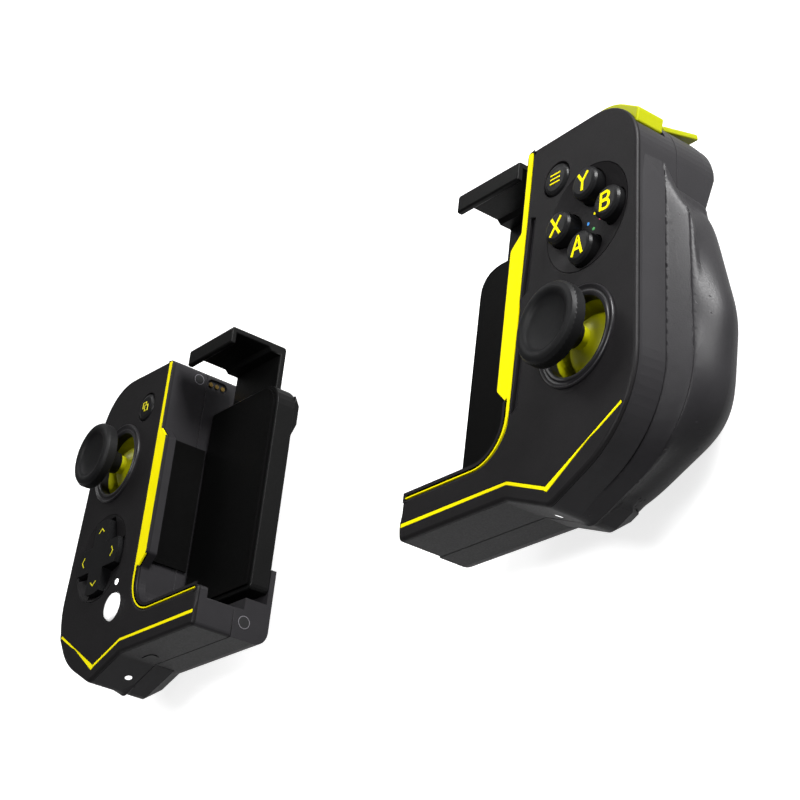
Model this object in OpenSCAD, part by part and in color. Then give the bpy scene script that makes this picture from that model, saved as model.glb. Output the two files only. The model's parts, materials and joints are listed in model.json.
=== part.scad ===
// Two-piece clip-on game controller for a phone.
// Each piece is described in its own frame: x runs outward from the wall that
// the phone's end meets, y runs up towards the shoulder buttons, and z runs out
// of the face. The left piece is the mirror image with other controls on it.

/* [Phone space] */
// Clear length between the two end walls, as the pieces are set out
phone_len = 158; // [120:1:175]
// Clear height from the arm's floor to the jaw's face at rest
phone_height = 79.6; // [78:0.1:81]
// Depth of the channel that takes the phone's thickness
phone_depth = 11.6; // [10.6:0.1:11.8]
// Thickness of the lip in front of the phone
lip_t = 3.4; // [3:0.1:3.6]
// How far the arm's front edge rises above the arm's datum line
lip_rise = 0.6; // [0:0.1:0.8]
// Depth of the arm's floor below that line
lip_reach = 2.4; // [1.8:0.1:2.8]
// How far the side lip reaches over the phone's end
side_lip_reach = 3.4; // [2:0.1:4]

/* [Housing] */
// Length of the arm under the phone, from the end wall
arm_len = 34.7; // [32:0.1:40]
// Depth of the arm below its top edge
arm_drop = 10.7; // [10.2:0.1:12]
// Distance from the end wall to the lower outer corner of the face
body_w = 43.4; // [42:0.1:46]
// How far the face narrows towards its top
side_lean = 6.8; // [5.8:0.1:7.5]
// Height of the face above the arm's top edge
body_top = 78.5; // [77.5:0.1:80]
// Height of the lowest corner below the arm's top edge
chin_drop = 16.3; // [15:0.1:17.5]
// Radius of the upper outer corner of the face
shoulder_r = 14.5; // [13:0.5:18]
// Radius of the lower outer corner of the face
hip_r = 25; // [20:0.5:28]
// Radius of the inner corner between wall and arm
inner_r = 9.5; // [7:0.5:10]
// Thickness of the face plate
plate_t = 1.1; // [1:0.1:1.6]
// Thickness of the shell walls
wall = 1.8; // [1.5:0.1:2]
// Thickness of the deck under the face plate
deck_t = 1.2; // [0.8:0.1:1.2]
// Depth of the seam between front and rear shell
seam_depth = 12; // [11.5:0.1:12.4]
// Depth at which the grip starts to flare outward
crease_depth = 8; // [7:0.1:9]
// Depth of the flat back behind the end wall and the arm
spine_depth = 23.2; // [23:0.1:25]
// Depth of the grip, down to the flat that it rests on
grip_depth = 35.2; // [33:0.1:38]
// Width of the bright strip along the phone's edge
strip_w = 0.8; // [0.6:0.05:1.2]
// Width of the accent line across the arm
accent_w = 0.9; // [0.6:0.05:1.2]
// Depth of both inlays
inlay_t = 0.5; // [0.3:0.1:0.8]

/* [Clamp] */
// Thickness of the jaw's top plate
jaw_t = 1.6; // [1.2:0.1:2]
// Width of the jaw along the phone
jaw_w = 22.8; // [18:0.1:24]
// Gap between the jaw and the end wall
jaw_gap = 5.8; // [5:0.1:8]
// How far the jaw's lip hangs over the phone
jaw_lip = 3.4; // [2.4:0.1:4]
// Thickness of the jaw's sliding plate
slide_t = 1.8; // [1.6:0.1:2]
// How far the jaw closes from rest
jaw_close = 10; // [6:0.5:10]
// How far the jaw opens from rest
jaw_open = 12.5; // [8:0.5:13]
// Height of the back panel's top
panel_top = 65.5; // [62:0.1:65.8]
// Height of the back panel's foot
panel_foot = 4; // [3:0.1:6]
// Thickness of the rubber pads
pad_t = 0.8; // [0.6:0.1:1]
// Outer radius of the clamp spring
jaw_spring_r = 1.1; // [0.9:0.05:1.15]

/* [Controls] */
// Distance of the sticks, dishes and cross from the face's lower outer corner
control_inset = 20.4; // [20:0.1:20.8]
// Height of the upper control's centre
upper_y = 51; // [50:0.1:51.5]
// Height of the lower control's centre
lower_y = 21.6; // [21:0.1:22.5]
// Radius of the round dishes
dish_r = 13.1; // [12.8:0.1:13.4]
// Depth of a dish at its centre
dish_depth = 2.3; // [1.8:0.1:2.6]
// Distance of each face button from the dish's centre
button_pitch = 8.1; // [7.8:0.1:8.2]
// Radius of a face button
button_r = 4; // [3.6:0.1:4.2]
// Height of the face buttons above the face
button_h = 2; // [1.4:0.1:2.4]
// Travel of the face buttons
button_travel = 1.2; // [0.8:0.1:1.3]
// Radius of the menu, view and home buttons
small_r = 4.1; // [3.6:0.1:4.3]
// Travel of the small buttons
small_travel = 0.6; // [0.4:0.1:0.9]
// Gap round a button in its hole
button_gap = 0.3; // [0.2:0.05:0.4]
// Distance of the menu and view buttons from the end wall
small_x = 11.3; // [10.8:0.1:12]
// Height of the menu and view buttons
small_y = 65.6; // [65.2:0.1:66]
// Height of the home button
home_y = 4.4; // [4:0.1:5]
// Length of the cross from end to end
cross_l = 22.6; // [21.6:0.1:23]
// Width of each arm of the cross
cross_w = 7.6; // [7:0.1:8]
// Height of the cross above the face
cross_h = 1.2; // [0.8:0.1:1.6]

/* [Sticks] */
// Radius of a stick's cap
cap_r = 9.6; // [9:0.1:10]
// Height of the cap's top above the face
cap_top = 9.4; // [9:0.1:10]
// Thickness of the cap's rim
cap_rim = 4; // [3.4:0.1:4]
// Outer radius of the ring round a stick
ring_r = 11.95; // [11.6:0.05:12.1]
// Inner radius of that ring
ring_bore_r = 9.3; // [9.1:0.05:9.4]
// Height of the ring above the face
ring_h = 0.8; // [0.5:0.1:0.9]
// Depth of the stick's pivot below the face
pivot_depth = 9.5; // [9.3:0.1:9.6]
// Radius of the yellow dome that turns with a stick
dome_r = 8.6; // [8.4:0.05:8.8]
// Radius of the stick's shaft
shaft_r = 1.5; // [1.3:0.05:1.6]
// Travel of a stick when it is pressed
click_travel = 0.5; // [0.3:0.1:0.6]

/* [Shoulder buttons] */
// Width of the bumper from front to back
bumper_w = 7.6; // [7:0.1:8]
// How far the bumper stands proud at its outer end
bumper_proud = 3.6; // [3:0.1:4.2]
// Thickness of the trigger's blade
blade_t = 1.5; // [1.2:0.1:1.8]
// Length of the trigger's blade from front to back
blade_len = 11; // [9:0.1:11.2]
// Depth of the pulled blade below the top of the housing
blade_sink = 1.4; // [1.2:0.1:1.6]
// Angle that the trigger turns through
trigger_swing = 14; // [10:0.5:15]
// Radius of the trigger's hinge pin
trigger_pin_r = 1.05; // [0.9:0.05:1.2]
// Angle that the bumper turns through
bumper_swing = 1.6; // [1:0.1:1.8]

/* [Fasteners] */
// Radius of a case screw's shank
screw_r = 0.95; // [0.8:0.05:1]
// Radius of a case screw's head
screw_head_r = 1.9; // [1.7:0.1:1.95]
// Depth of a screw's head seat below the face
screw_seat = 16; // [15.5:0.1:17]
// Radius of the magnets
magnet_r = 1.75; // [1.5:0.05:1.8]

/* [Hidden] */

$fn = 48;
cut = 0.05;        // overlap of a cutting tool past the face it opens
sheet = 0.02;      // thickness of the thin slabs that a hull joins
run_gap = 0.05;    // running clearance of a pin in its bore
slip_gap = 0.3;    // clearance of a sliding or free piece
inlay_gap = 0.05;  // clearance round an inlay

face_black = "#2b2a2b";
shell_grey = "#3a393b";
part_black = "#1c1c1d";
bright_yellow = "#fff200";
trigger_yellow = "#e0e000";
metal = "#b9bbbe";
board_green = "#1f5a3a";

// Depths, all measured down from the face
channel_back = lip_t + phone_depth;
floor_y = -lip_reach;
jaw_face_y = phone_height - lip_reach;
jaw_top_y = jaw_face_y + jaw_t;
board_depth = 15;
board_t = 1.2;
switch_pad_t = 0.8;
switch_dome_h = 0.9;
stem_end = board_depth - switch_pad_t - switch_dome_h - button_travel - 0.3;

// Corner arcs: a corner is [x, y, radius], and its arc has a few straight steps
function unit(v) = v / norm(v);
function arc_steps(r) = r < 2 ? 3 : (r < 8 ? 6 : 14);
function corner_arc(p, c, q, r) =
    let (u = unit(p - c), v = unit(q - c), half = acos(u * v) / 2)
    let (centre = c + unit(u + v) * (r / sin(half)))
    let (a = c + u * (r / tan(half)) - centre, b = c + v * (r / tan(half)) - centre)
    let (start = atan2(a[1], a[0]), turn = (atan2(b[1], b[0]) - start + 540) % 360 - 180)
    [for (i = [0 : arc_steps(r)]) centre + r * [cos(start + turn * i / arc_steps(r)),
                                               sin(start + turn * i / arc_steps(r))]];
function xy(c) = [c[0], c[1]];
function rounded(corners) = let (n = len(corners)) [
    for (i = [0 : n - 1]) for (p = len(corners[i]) < 3 ? [xy(corners[i])] :
        corner_arc(xy(corners[(i + n - 1) % n]), xy(corners[i]), xy(corners[(i + 1) % n]),
                   corners[i][2])) p];
function shrink(corners, centre, sx, sy) = [for (c = corners)
    [centre[0] + (c[0] - centre[0]) * sx, centre[1] + (c[1] - centre[1]) * sy, c[2] * min(sx, sy)]];
function side_x(y) = body_w - side_lean * (y + 3) / (body_top + 3);

// Outlines of the housing, and the line that the sticks, dishes and cross stand on
control_x = body_w - control_inset;
chin = [18, -chin_drop, 3];
hip = [body_w, -3, hip_r];
shoulder = [body_w - side_lean, body_top, shoulder_r];
wall_top = [0, body_top - 1.2, 1];
arm_turn_x = 3;
lip_low = 17.2;
lip_high = 52.2;
face_corners = [
    [-arm_len, -arm_drop, 1], [arm_turn_x, -arm_drop, 5], chin, hip, shoulder, wall_top,
    [0, lip_high + side_lip_reach, 1.2], [-side_lip_reach, lip_high, 1.2],
    [-side_lip_reach, lip_low, 1.2], [0, lip_low - side_lip_reach, 1.2],
    [0, lip_rise, inner_r], [-arm_len, lip_rise, 1.2]
];
body_corners = [
    [-arm_len, -arm_drop, 1], [arm_turn_x, -arm_drop, 5], chin, hip, shoulder, wall_top,
    [0, floor_y, inner_r], [-arm_len, floor_y, 0.5]
];
// The grip: its side leans out to a brow, steps back at the crease and flares to the
// seam and on to its widest. From there it shrinks to the flat back: each row is
// [depth, width share, height share]. Where the side meets the body's outline it stays
// inside it by the tuck.
grip_in_x = 12;
waist_y = 57.2;
brow_out = 0.85;
brow_top = 63;
crease_out = 0.35;
tuck = 0.12;
function side_corners(out) = [
    [grip_in_x, brow_top], [grip_in_x, -12], chin + [0, tuck, 0], hip + [out, -0.3 * out, 0],
    [side_x(waist_y) + out, waist_y, 2], [side_x(brow_top) - tuck, brow_top]];
seam_corners = [[grip_in_x, waist_y], [grip_in_x, -14], [18.2, -chin_drop - 0.7, 3],
                [body_w + 5.1, -2.2, 26], [side_x(waist_y) + 4.1, waist_y - 7, 3],
                [side_x(waist_y), waist_y]];
belly_corners = [[10, 57, 3], [10, -10, 3], [17, -13.6, 6], [body_w + 6.2, 0.5, 16],
                 [body_w + 6.6, 27, 22], [side_x(waist_y) + 3, 50.6, 4],
                 [side_x(waist_y), 57, 3]];
belly_depth = 20;
grip_centre = [25, 24];
function eased(f) = sqrt(f * f + 0.01) - 0.1;
grip_rows = concat([[belly_depth - 4, 0.97, 0.985]], [for (f = [0, 0.12, 0.28, 0.46, 0.64, 0.8, 0.92, 1])
    [belly_depth + (grip_depth - belly_depth) * f, 1 - 0.68 * eased(f) - 0.06 * pow(f, 6),
     1 - 0.44 * eased(f) - 0.13 * pow(f, 3)]]);
// The block above the grip, which carries the shoulder buttons
neck_in_x = 18;
neck_depth = 24.5;
neck_slope = 11;

module slab(depth) {
    translate([0, 0, -depth]) linear_extrude(sheet) children();
}
// A prism between two depths below the face
module layer(top, bottom) {
    translate([0, 0, -bottom]) linear_extrude(bottom - top) children();
}
module face_outline() {
    polygon(rounded(face_corners));
}
module body_outline(inset = 0) {
    offset(delta = -inset) polygon(rounded(body_corners));
}
module window(x0, x1, y0, y1) {
    translate([x0, y0]) square([x1 - x0, y1 - y0]);
}
module peg(x, y, top, bottom, r) {
    translate([x, y, -bottom]) cylinder(r = r, h = bottom - top);
}
module brick(x0, x1, y0, y1, top, bottom) {
    translate([x0, y0, -bottom]) cube([x1 - x0, y1 - y0, bottom - top]);
}
// A prism along x over a profile drawn in y and z
module beam(x0, x1) {
    translate([x0, 0, 0]) rotate([90, 0, 90]) linear_extrude(x1 - x0) children();
}
module pill(w, h) {
    square([w - h, h], center = true);
    for (s = [-1, 1]) translate([s * (w - h) / 2, 0]) circle(d = h);
}

// Screws: four behind the end wall and in the neck, one in the arm
screw_places = [[4.9, 59.6], [4.9, 36.2], [32.2, 66.4], [6.2, -3.2], [-29, -6.6]];
boss_r = 2.6;
arm_boss_r = 2;
function post_r(p) = p[0] < 0 ? arm_boss_r : boss_r;
function back_of(p) = p[0] > neck_in_x ? neck_depth : spine_depth;

// Bumper and trigger share the housing's top outline
bumper_front = plate_t + 0.6;
bumper_back = bumper_front + bumper_w;
bumper_x0 = 10;
bumper_end = body_w - side_lean - 0.9;
bumper_low = body_top - 7.2;
bumper_corners = [[bumper_x0, body_top - 4.5], [bumper_x0, body_top - 0.5, 1],
                  [bumper_end - 9.2, body_top + 1.6, 14],
                  [bumper_end, bumper_low + bumper_proud, 0.6],
                  [bumper_end - 0.3, bumper_low], [bumper_end - 3.6, bumper_low]];
bumper_depth = 2.2;
bumper_pivot = [15, body_top - 6.5];
bumper_post_r = 1.2;
blade_x = [12, 31.5];
barrel_x = [14, 26.5];
trigger_front = seam_depth + 1.5;
trigger_pivot = [body_top - 5, -(seam_depth + 1.9)];
barrel_r = 1.9;
flank_t = 1.3;
lug_t = 1.8;
lug_x = [barrel_x[0] - slip_gap - lug_t, barrel_x[1] + slip_gap];
blade_y = body_top - blade_sink;
recess_y = blade_y - blade_t - slip_gap;
recess_floor_t = 1.8;

// Face plate with its holes, pockets and lip
module face_plate_form(upper_r, lower_r) {
    difference() {
        layer(0, plate_t) face_outline();
        peg(control_x, upper_y, -cut, plate_t + cut, upper_r);
        peg(control_x, lower_y, -cut, plate_t + cut, lower_r);
        peg(small_x, small_y, -cut, plate_t + cut, small_r + button_gap);
        layer(-cut, inlay_t) strip_shape(inlay_gap);
        layer(-cut, inlay_t) accent_shape(inlay_gap);
        children();
    }
}
ring_hole_r = ring_bore_r + 1.1;
strip_edge = 0.3;
strip_in_x = 1.75;
module strip_shape(gap) {
    o = strip_edge - gap;
    x1 = strip_in_x + gap;
    y0 = lip_rise - strip_edge - strip_w - gap;
    lean = 0.3;
    polygon(rounded([
        [o, body_top - 1.6 + gap], [o, lip_high + side_lip_reach + lean, 1],
        [o - side_lip_reach, lip_high + lean, 1], [o - side_lip_reach, lip_low - lean, 1],
        [o, lip_low - side_lip_reach - lean, 1], [o, lip_rise - o, inner_r + strip_edge],
        [1 - arm_len - gap, lip_rise - o], [1 - arm_len - gap, y0],
        [x1, y0, inner_r + strip_in_x], [x1, body_top - 1.6 + gap]]));
}
module accent_shape(gap) {
    y = -7;
    w = accent_w / 2 + gap;
    knee = [3.3, y];
    low = [chin[0] - 1.3, -11.8];
    tip = [body_w - 4.7, 1.3];
    mid = low + (tip - low) * 0.68;
    thin = w * 0.65;
    polygon([
        [0.5 - arm_len - gap, y + w], knee + [0.1, w], low + [0, thin], tip + [0, thin],
        tip + [0.3, -thin], mid + [0, -thin], mid + [-2.4, -w * 3.2], low + [0.5, -w * 2.2],
        low + [-0.6, -thin], knee - [0, thin], [0.5 - arm_len - gap, y - w]]);
}
slot_t = 0.7;
module left_face_plate() color(face_black) left() face_plate_form(ring_hole_r, dish_r) {
    peg(small_x, home_y, -cut, plate_t + cut, small_r + button_gap);
    peg(light_x, light_y, -cut, plate_t + cut, light_r + run_gap);
}
module right_face_plate() color(face_black) right() face_plate_form(dish_r, ring_hole_r) {
    layer(-cut, slot_t) slot_shape(38.2, 58.8);
    layer(-cut, slot_t) slot_shape(9.5, 30.2);
}
module slot_shape(y0, y1) {
    polygon([[2.3, y0], [4.5, y0 + 1.2], [4.9, y1 - 0.6], [3.1, y1]]);
}
light_r = 0.9;
light_x = 11;
light_y = 11.7;
module inlay_form() {
    layer(0, inlay_t) strip_shape(0);
    layer(0, inlay_t) accent_shape(0);
}
module left_inlay() color(bright_yellow) left() inlay_form();
module right_inlay() color(bright_yellow) right() inlay_form();

// Front shell: walls from the face plate down to the seam, with the flared grip
module brow() {
    hull() {
        slab(plate_t + 0.4) offset(delta = -cut) polygon(rounded(side_corners(0)));
        slab(crease_depth - 0.4) polygon(rounded(side_corners(brow_out)));
    }
}
module flare(inset) {
    hull() {
        slab(crease_depth) offset(delta = -inset) polygon(rounded(side_corners(crease_out)));
        slab(seam_depth + (inset > 0 ? cut : 0))
            offset(delta = -inset) polygon(rounded(seam_corners));
    }
}
module front_shell_form(dish_y) {
    difference() {
        union() {
            layer(plate_t, seam_depth) body_outline();
            layer(plate_t, lip_t) face_outline();
            brow();
            flare(0);
        }
        difference() {
            union() {
                layer(plate_t + deck_t, seam_depth + cut) body_outline(wall);
                flare(wall);
            }
            for (p = screw_places) peg(p[0], p[1], plate_t, seam_depth + 1, post_r(p));
            peg(bumper_pivot[0], bumper_pivot[1], plate_t, bumper_back, bumper_post_r);
            bumper_bracket();
        }
        for (p = screw_places)
            peg(p[0], p[1], plate_t + 2.4, seam_depth + 1, screw_r + run_gap);
        // Opening for the bumper in the top wall
        layer(plate_t - cut, bumper_back + slip_gap) intersection() {
            window(bumper_x0 - slip_gap, body_w, bumper_low - 1, body_top + 1);
            difference() {
                offset(delta = 0.1) body_outline();
                body_outline(bumper_depth + 1.4);
            }
        }
        // Openings of the deck, under the dish, the stick and the small buttons
        peg(control_x, dish_y, plate_t - cut, dish_floor + cut, dish_r + 0.95);
        peg(control_x, upper_y + lower_y - dish_y, plate_t - cut, plate_t + deck_t + cut,
            ring_hole_r + 0.05);
        peg(small_x, small_y, plate_t - cut, plate_t + deck_t + cut, small_r + button_gap);
        magnet_pocket_wall();
        bottom_light_hole();
        children();
    }
}
// Web that ties the bumper's post to the end wall
module bumper_bracket() {
    brick(1, bumper_pivot[0] - 1, bumper_pivot[1] - 0.8, bumper_pivot[1] + 0.8,
          bumper_back - 1.6, bumper_back);
}
module left_front_shell() color(shell_grey) left() front_shell_form(lower_y) {
    peg(small_x, home_y, plate_t - cut, plate_t + deck_t + cut, small_r + button_gap);
    peg(light_x, light_y, plate_t - cut, plate_t + deck_t + cut, light_r + run_gap);
    translate([pairing_x, -arm_drop + wall + cut, -pairing_depth]) rotate([90, 0, 0])
        linear_extrude(wall + 2 * cut) pill(pairing_w + 0.4, pairing_h + 0.4);
}
module right_front_shell() color(shell_grey) right() front_shell_form(upper_y);

// Rear shell: spine behind the end wall, arm, neck and grip
module arm_profile(inset) {
    top = -seam_depth + (inset > 0 ? inset + cut : 0);
    offset(delta = -inset) polygon(rounded([
        [-arm_drop, top], [-arm_drop, -spine_depth, 4.2], [1, -spine_depth], [1, -channel_back],
        [floor_y, -channel_back], [floor_y, top]]));
}
module spine_outline(inset) {
    offset(delta = -inset) intersection() {
        polygon(rounded(body_corners));
        window(arm_turn_x, 24, -20, body_top + 1);
    }
}
// The cavities step in a little from one to the next, so that no two share a face
function stepped(inset, n) = inset > 0 ? inset + n * cut : 0;
module rear_form(inset) {
    top = seam_depth - (inset > 0 ? cut : 0);
    beam(-arm_len + inset, 8) arm_profile(inset);
    layer(top, spine_depth - inset) offset(delta = -stepped(inset, 1)) intersection() {
        polygon(rounded(body_corners));
        window(0, 9, -6.2, body_top + 1);
    }
    hull() {
        layer(top, 18) spine_outline(stepped(inset, 2));
        slab(spine_depth - inset) spine_outline(inset + 4);
    }
    hull() {
        slab(top + sheet) offset(delta = -inset) polygon(rounded(seam_corners));
        for (row = grip_rows) slab(row[0] - inset - (row[0] > grip_depth - 0.1 ? 0 : -inset))
            offset(delta = -inset) polygon(rounded(shrink(belly_corners, grip_centre,
                                                          row[1], row[2])));
    }
    hull() {
        layer(top, 20.5 - inset) neck_outline(stepped(inset, 3), 0);
        slab(neck_depth - 1 - inset) neck_outline(inset + 0.3, neck_slope * 0.8);
        slab(neck_depth - inset) neck_outline(inset + 1, neck_slope);
    }
}
module neck_outline(inset, rise) {
    offset(delta = -inset) intersection() {
        polygon(rounded(body_corners));
        window(neck_in_x, body_w, waist_y - 1.5 + rise, body_top + 1);
    }
}
module rear_shell_form() {
    difference() {
        union() {
            difference() {
                rear_form(0);
                difference() {
                    union() {
                        rear_form(wall);
                        layer(seam_depth - cut, seam_depth + 2) seam_opening();
                        layer(seam_depth - cut, 17.5) intersection() {
                            body_outline(wall + 4 * cut);
                            window(9, body_w, upper_y - 10, body_top);
                        }
                    }
                    for (p = screw_places)
                        peg(p[0], p[1], seam_depth, back_of(p) - 1, post_r(p) + 0.4);
                    board_posts();
                    trigger_lugs();
                    brick(blade_x[0] - slip_gap - wall, blade_x[1] + 3, recess_y - recess_floor_t,
                          body_top, seam_depth, neck_depth);
                    spring_seat();
                }
            }
            // Rib behind the foot of the back panel
            brick(-arm_len, 0.5, 0, 10.9, panel_back, spine_depth);
        }
        for (p = screw_places) {
            peg(p[0], p[1], seam_depth - 1, spine_depth, screw_r + 0.2);
            peg(p[0], p[1], screw_seat, spine_depth + 4, screw_head_r + 0.2);
        }
        // Recess in the neck's top for the blade, and a window under its barrel
        brick(blade_x[0] - slip_gap, body_w, recess_y, body_top + 2, seam_depth - cut,
              neck_depth + cut);
        brick(barrel_x[0] - slip_gap, barrel_x[1] + slip_gap, trigger_pivot[0] - 3,
              body_top + 1, seam_depth - cut, 22.4);
        at_trigger_pivot() translate([lug_x[0] + 0.1, 0, 0]) rotate([0, 90, 0])
            cylinder(r = trigger_pin_r + run_gap, h = lug_x[1] - lug_x[0] + lug_t - 0.2);
        magnet_pocket_arm();
        contact_recess();
    }
}
// Opening through the seam, kept inside both shells
module seam_opening() {
    body_outline(wall + 5 * cut);
    offset(delta = -wall - cut) polygon(rounded(seam_corners));
}
module board_posts() {
    for (y = [12, 44]) brick(board_x[0] + 1.8, board_x[0] + 4.8, board_y[0] + y, board_y[0] + y + 7,
                             board_depth + board_t, spine_depth - 0.5);
}
module trigger_lugs() {
    for (x = lug_x) brick(x, x + lug_t, trigger_pivot[0] - 2.8, recess_y,
                          seam_depth, -trigger_pivot[1] + 2.8);
}
spring_place = [22.6, 18.6];
spring_r = 1.7;
spring_foot_y = trigger_pivot[0] - 5.3;
module spring_seat() {
    brick(spring_place[0] - 3, spring_place[0] + 3, spring_foot_y - 1.4, spring_foot_y,
          spring_place[1] - 3, neck_depth - 0.6);
}
module left_rear_shell() color(shell_grey) left() rear_shell_form();
module right_rear_shell() color(shell_grey) right() rear_shell_form();

// Back panel: a sleeve for the jaw's plate, with a low hump on its back
slide_front = channel_back + 3.2;
slide_back = slide_front + slide_t;
panel_front = channel_back + pad_t;
panel_back = slide_back + slip_gap + 1.3;
jaw_x0 = -jaw_gap - jaw_w;
slide_foot = panel_top - jaw_open - 15;
spring_x = -jaw_gap - jaw_w / 2;
module panel_outline(inset) {
    offset(delta = -inset) polygon(rounded([
        [-arm_len, panel_foot, 1.5], [0, panel_foot], [0, panel_top], [-arm_len, panel_top, 7]]));
}
module back_panel_form() {
    difference() {
        union() {
            layer(panel_front, panel_back) panel_outline(0);
            beam(-arm_len + 0.4, 0) polygon([
                [panel_top - 15.5, -panel_back + cut], [panel_top - 11, -spine_depth],
                [panel_top - 5.5, -spine_depth], [panel_top - 2.6, -panel_back + cut]]);
        }
        brick(jaw_x0 - slip_gap, -jaw_gap + slip_gap, slide_foot - jaw_close - 0.6, panel_top + 1,
              slide_front - slip_gap, slide_back + slip_gap);
        brick(spring_x - jaw_spring_r - 0.4, spring_x + jaw_spring_r + 0.4, panel_foot + 4,
              slide_foot, slide_front - slip_gap, slide_back + slip_gap);
    }
}
module left_back_panel() color(part_black) left() back_panel_form();
module right_back_panel() color(part_black) right() back_panel_form();
module phone_pads_form() {
    layer(channel_back, panel_front) panel_outline(1.2);
    brick(-pad_t, 0, lip_low - 1, lip_high + 1, lip_t + 0.4, channel_back - 0.4);
}
module left_phone_pads() color(part_black) left() phone_pads_form();
module right_phone_pads() color(part_black) right() phone_pads_form();

// Clamp jaw: top plate with a lip, on a plate that slides in the panel
jaw_front = 1.8;
module clamp_jaw_form() {
    beam(jaw_x0, -jaw_gap) polygon(rounded([
        [jaw_top_y - jaw_t - jaw_lip, -lip_t], [jaw_top_y - jaw_t - jaw_lip, -jaw_front, 0.5],
        [jaw_top_y, -jaw_front, 0.8], [jaw_top_y, -slide_back, 1],
        [jaw_face_y - 1, -slide_back], [jaw_face_y - 1, -channel_back],
        [jaw_face_y, -channel_back + 1], [jaw_face_y, -lip_t]]));
    layer(slide_front, slide_back) polygon(rounded([
        [jaw_x0, slide_foot, 1], [-jaw_gap, slide_foot, 1],
        [-jaw_gap, jaw_face_y - 0.5], [jaw_x0, jaw_face_y - 0.5]]));
}
module left_clamp_jaw() color(part_black) left() clamp_jaw_form();
module right_clamp_jaw() color(part_black) right() clamp_jaw_form();
jaw_spring_foot = panel_foot + 4.3;
module jaw_spring_form() {
    translate([spring_x, jaw_spring_foot, -(slide_front + slide_back) / 2]) rotate([-90, 0, 0])
        difference() {
            cylinder(r = jaw_spring_r, h = slide_foot - jaw_spring_foot - slip_gap);
            translate([0, 0, -1]) cylinder(r = jaw_spring_r - 0.4, h = slide_foot);
        }
}
module left_jaw_spring() color(metal) left() jaw_spring_form();
module right_jaw_spring() color(metal) right() jaw_spring_form();

// Bumper: a curved bar that turns on a post inside the front shell
module bumper_form() {
    layer(bumper_front, bumper_back) difference() {
        polygon(rounded(bumper_corners));
        body_outline(bumper_depth);
    }
    difference() {
        union() {
            layer(bumper_front + 2, bumper_back - 2)
                window(bumper_pivot[0] - 2.4, bumper_pivot[0] + 2.4, bumper_pivot[1],
                       body_top - bumper_depth - 0.3);
            peg(bumper_pivot[0], bumper_pivot[1], bumper_front + 2, bumper_back - 2, 2.4);
        }
        peg(bumper_pivot[0], bumper_pivot[1], 0, bumper_back, bumper_post_r + run_gap);
    }
}
module left_bumper() color(trigger_yellow) left() bumper_form();
module right_bumper() color(trigger_yellow) right() bumper_form();

// Trigger: a blade in the recess of the neck, on a barrel between two lugs. It
// is drawn pulled, and turned back to rest about its pivot.
module at_trigger_pivot() {
    translate([0, trigger_pivot[0], trigger_pivot[1]]) children();
}
module trigger_form() {
    at_trigger_pivot() rotate([trigger_swing, 0, 0])
        translate([0, -trigger_pivot[0], -trigger_pivot[1]]) {
            layer(trigger_front, trigger_front + blade_len) polygon(rounded([
                [blade_x[0], blade_y - 0.5, 0.4], [blade_x[0] + 9, blade_y, 20],
                [blade_x[1], blade_y, 0.4], [blade_x[1], blade_y - blade_t],
                [blade_x[0], blade_y - blade_t]]));
            for (x = [barrel_x[0] + 0.4, barrel_x[1] - flank_t - 0.4])
                brick(x, x + flank_t, trigger_pivot[0] - 0.5, blade_y - blade_t / 2,
                      -trigger_pivot[1], trigger_front + blade_len - 2.6);
            brick(barrel_x[0] + 0.2, barrel_x[1] - 0.2, trigger_pivot[0], blade_y - blade_t / 2,
                  -trigger_pivot[1] - 0.3, -trigger_pivot[1] + 1.6);
        }
    at_trigger_pivot() rotate([0, 90, 0]) {
        translate([0, 0, barrel_x[0]]) cylinder(r = barrel_r, h = barrel_x[1] - barrel_x[0]);
        translate([0, 0, lug_x[0] + 0.3])
            cylinder(r = trigger_pin_r, h = lug_x[1] - lug_x[0] + lug_t - 0.6);
    }
}
module left_trigger() color(trigger_yellow) left() trigger_form();
module right_trigger() color(trigger_yellow) right() trigger_form();
spring_len = 7;
module trigger_spring_form() {
    translate([spring_place[0], spring_foot_y, -spring_place[1]]) rotate([-90, 0, 0])
        difference() {
            cylinder(r = spring_r, h = spring_len);
            translate([0, 0, -1]) cylinder(r = spring_r - 0.5, h = spring_len + 2);
        }
}
module left_trigger_spring() color(metal) left() trigger_spring_form();
module right_trigger_spring() color(metal) right() trigger_spring_form();

// Thumbstick. Its pieces are drawn about the pivot's axis on the face.
module at_stick(y) {
    translate([control_x, y, 0]) children();
}
ring_neck = 2.4;
module stick_ring_form() {
    rotate_extrude() polygon([
        [ring_bore_r, -ring_neck], [ring_bore_r + 1, -ring_neck], [ring_bore_r + 1, 0],
        [ring_r, 0], [ring_r, ring_h * 0.4], [ring_r - 0.5, ring_h],
        [ring_bore_r + 0.5, ring_h], [ring_bore_r, ring_h - 0.5]]);
}
module left_stick_ring() color(part_black) left() at_stick(upper_y) stick_ring_form();
module right_stick_ring() color(part_black) right() at_stick(lower_y) stick_ring_form();

well_r = dome_r + 0.9;
well_floor = pivot_depth + 2.9;
gimbal_x = 6.4;
trunnion_r = 0.7;
module along_x(x0, x1, r) {
    translate([x0, 0, -pivot_depth]) rotate([0, 90, 0]) cylinder(r = r, h = x1 - x0);
}
module along_y(y0, y1, r) {
    translate([0, y1, -pivot_depth]) rotate([90, 0, 0]) cylinder(r = r, h = y1 - y0);
}
module stick_housing_form() {
    rotate_extrude() polygon([
        [0, -board_depth], [8, -board_depth], [well_r + 0.8, -well_floor - 0.8],
        [well_r + 0.8, -ring_neck - 0.1], [well_r, -ring_neck - 0.1], [well_r, -well_floor],
        [0, -well_floor]]);
    difference() {
        for (s = [-1, 1]) brick(s * gimbal_x - 0.6, s * gimbal_x + 0.6, -1.7, 1.7,
                                pivot_depth - 1.3, well_floor + 0.1);
        along_x(-8, 8, trunnion_r + run_gap);
    }
}
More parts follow.
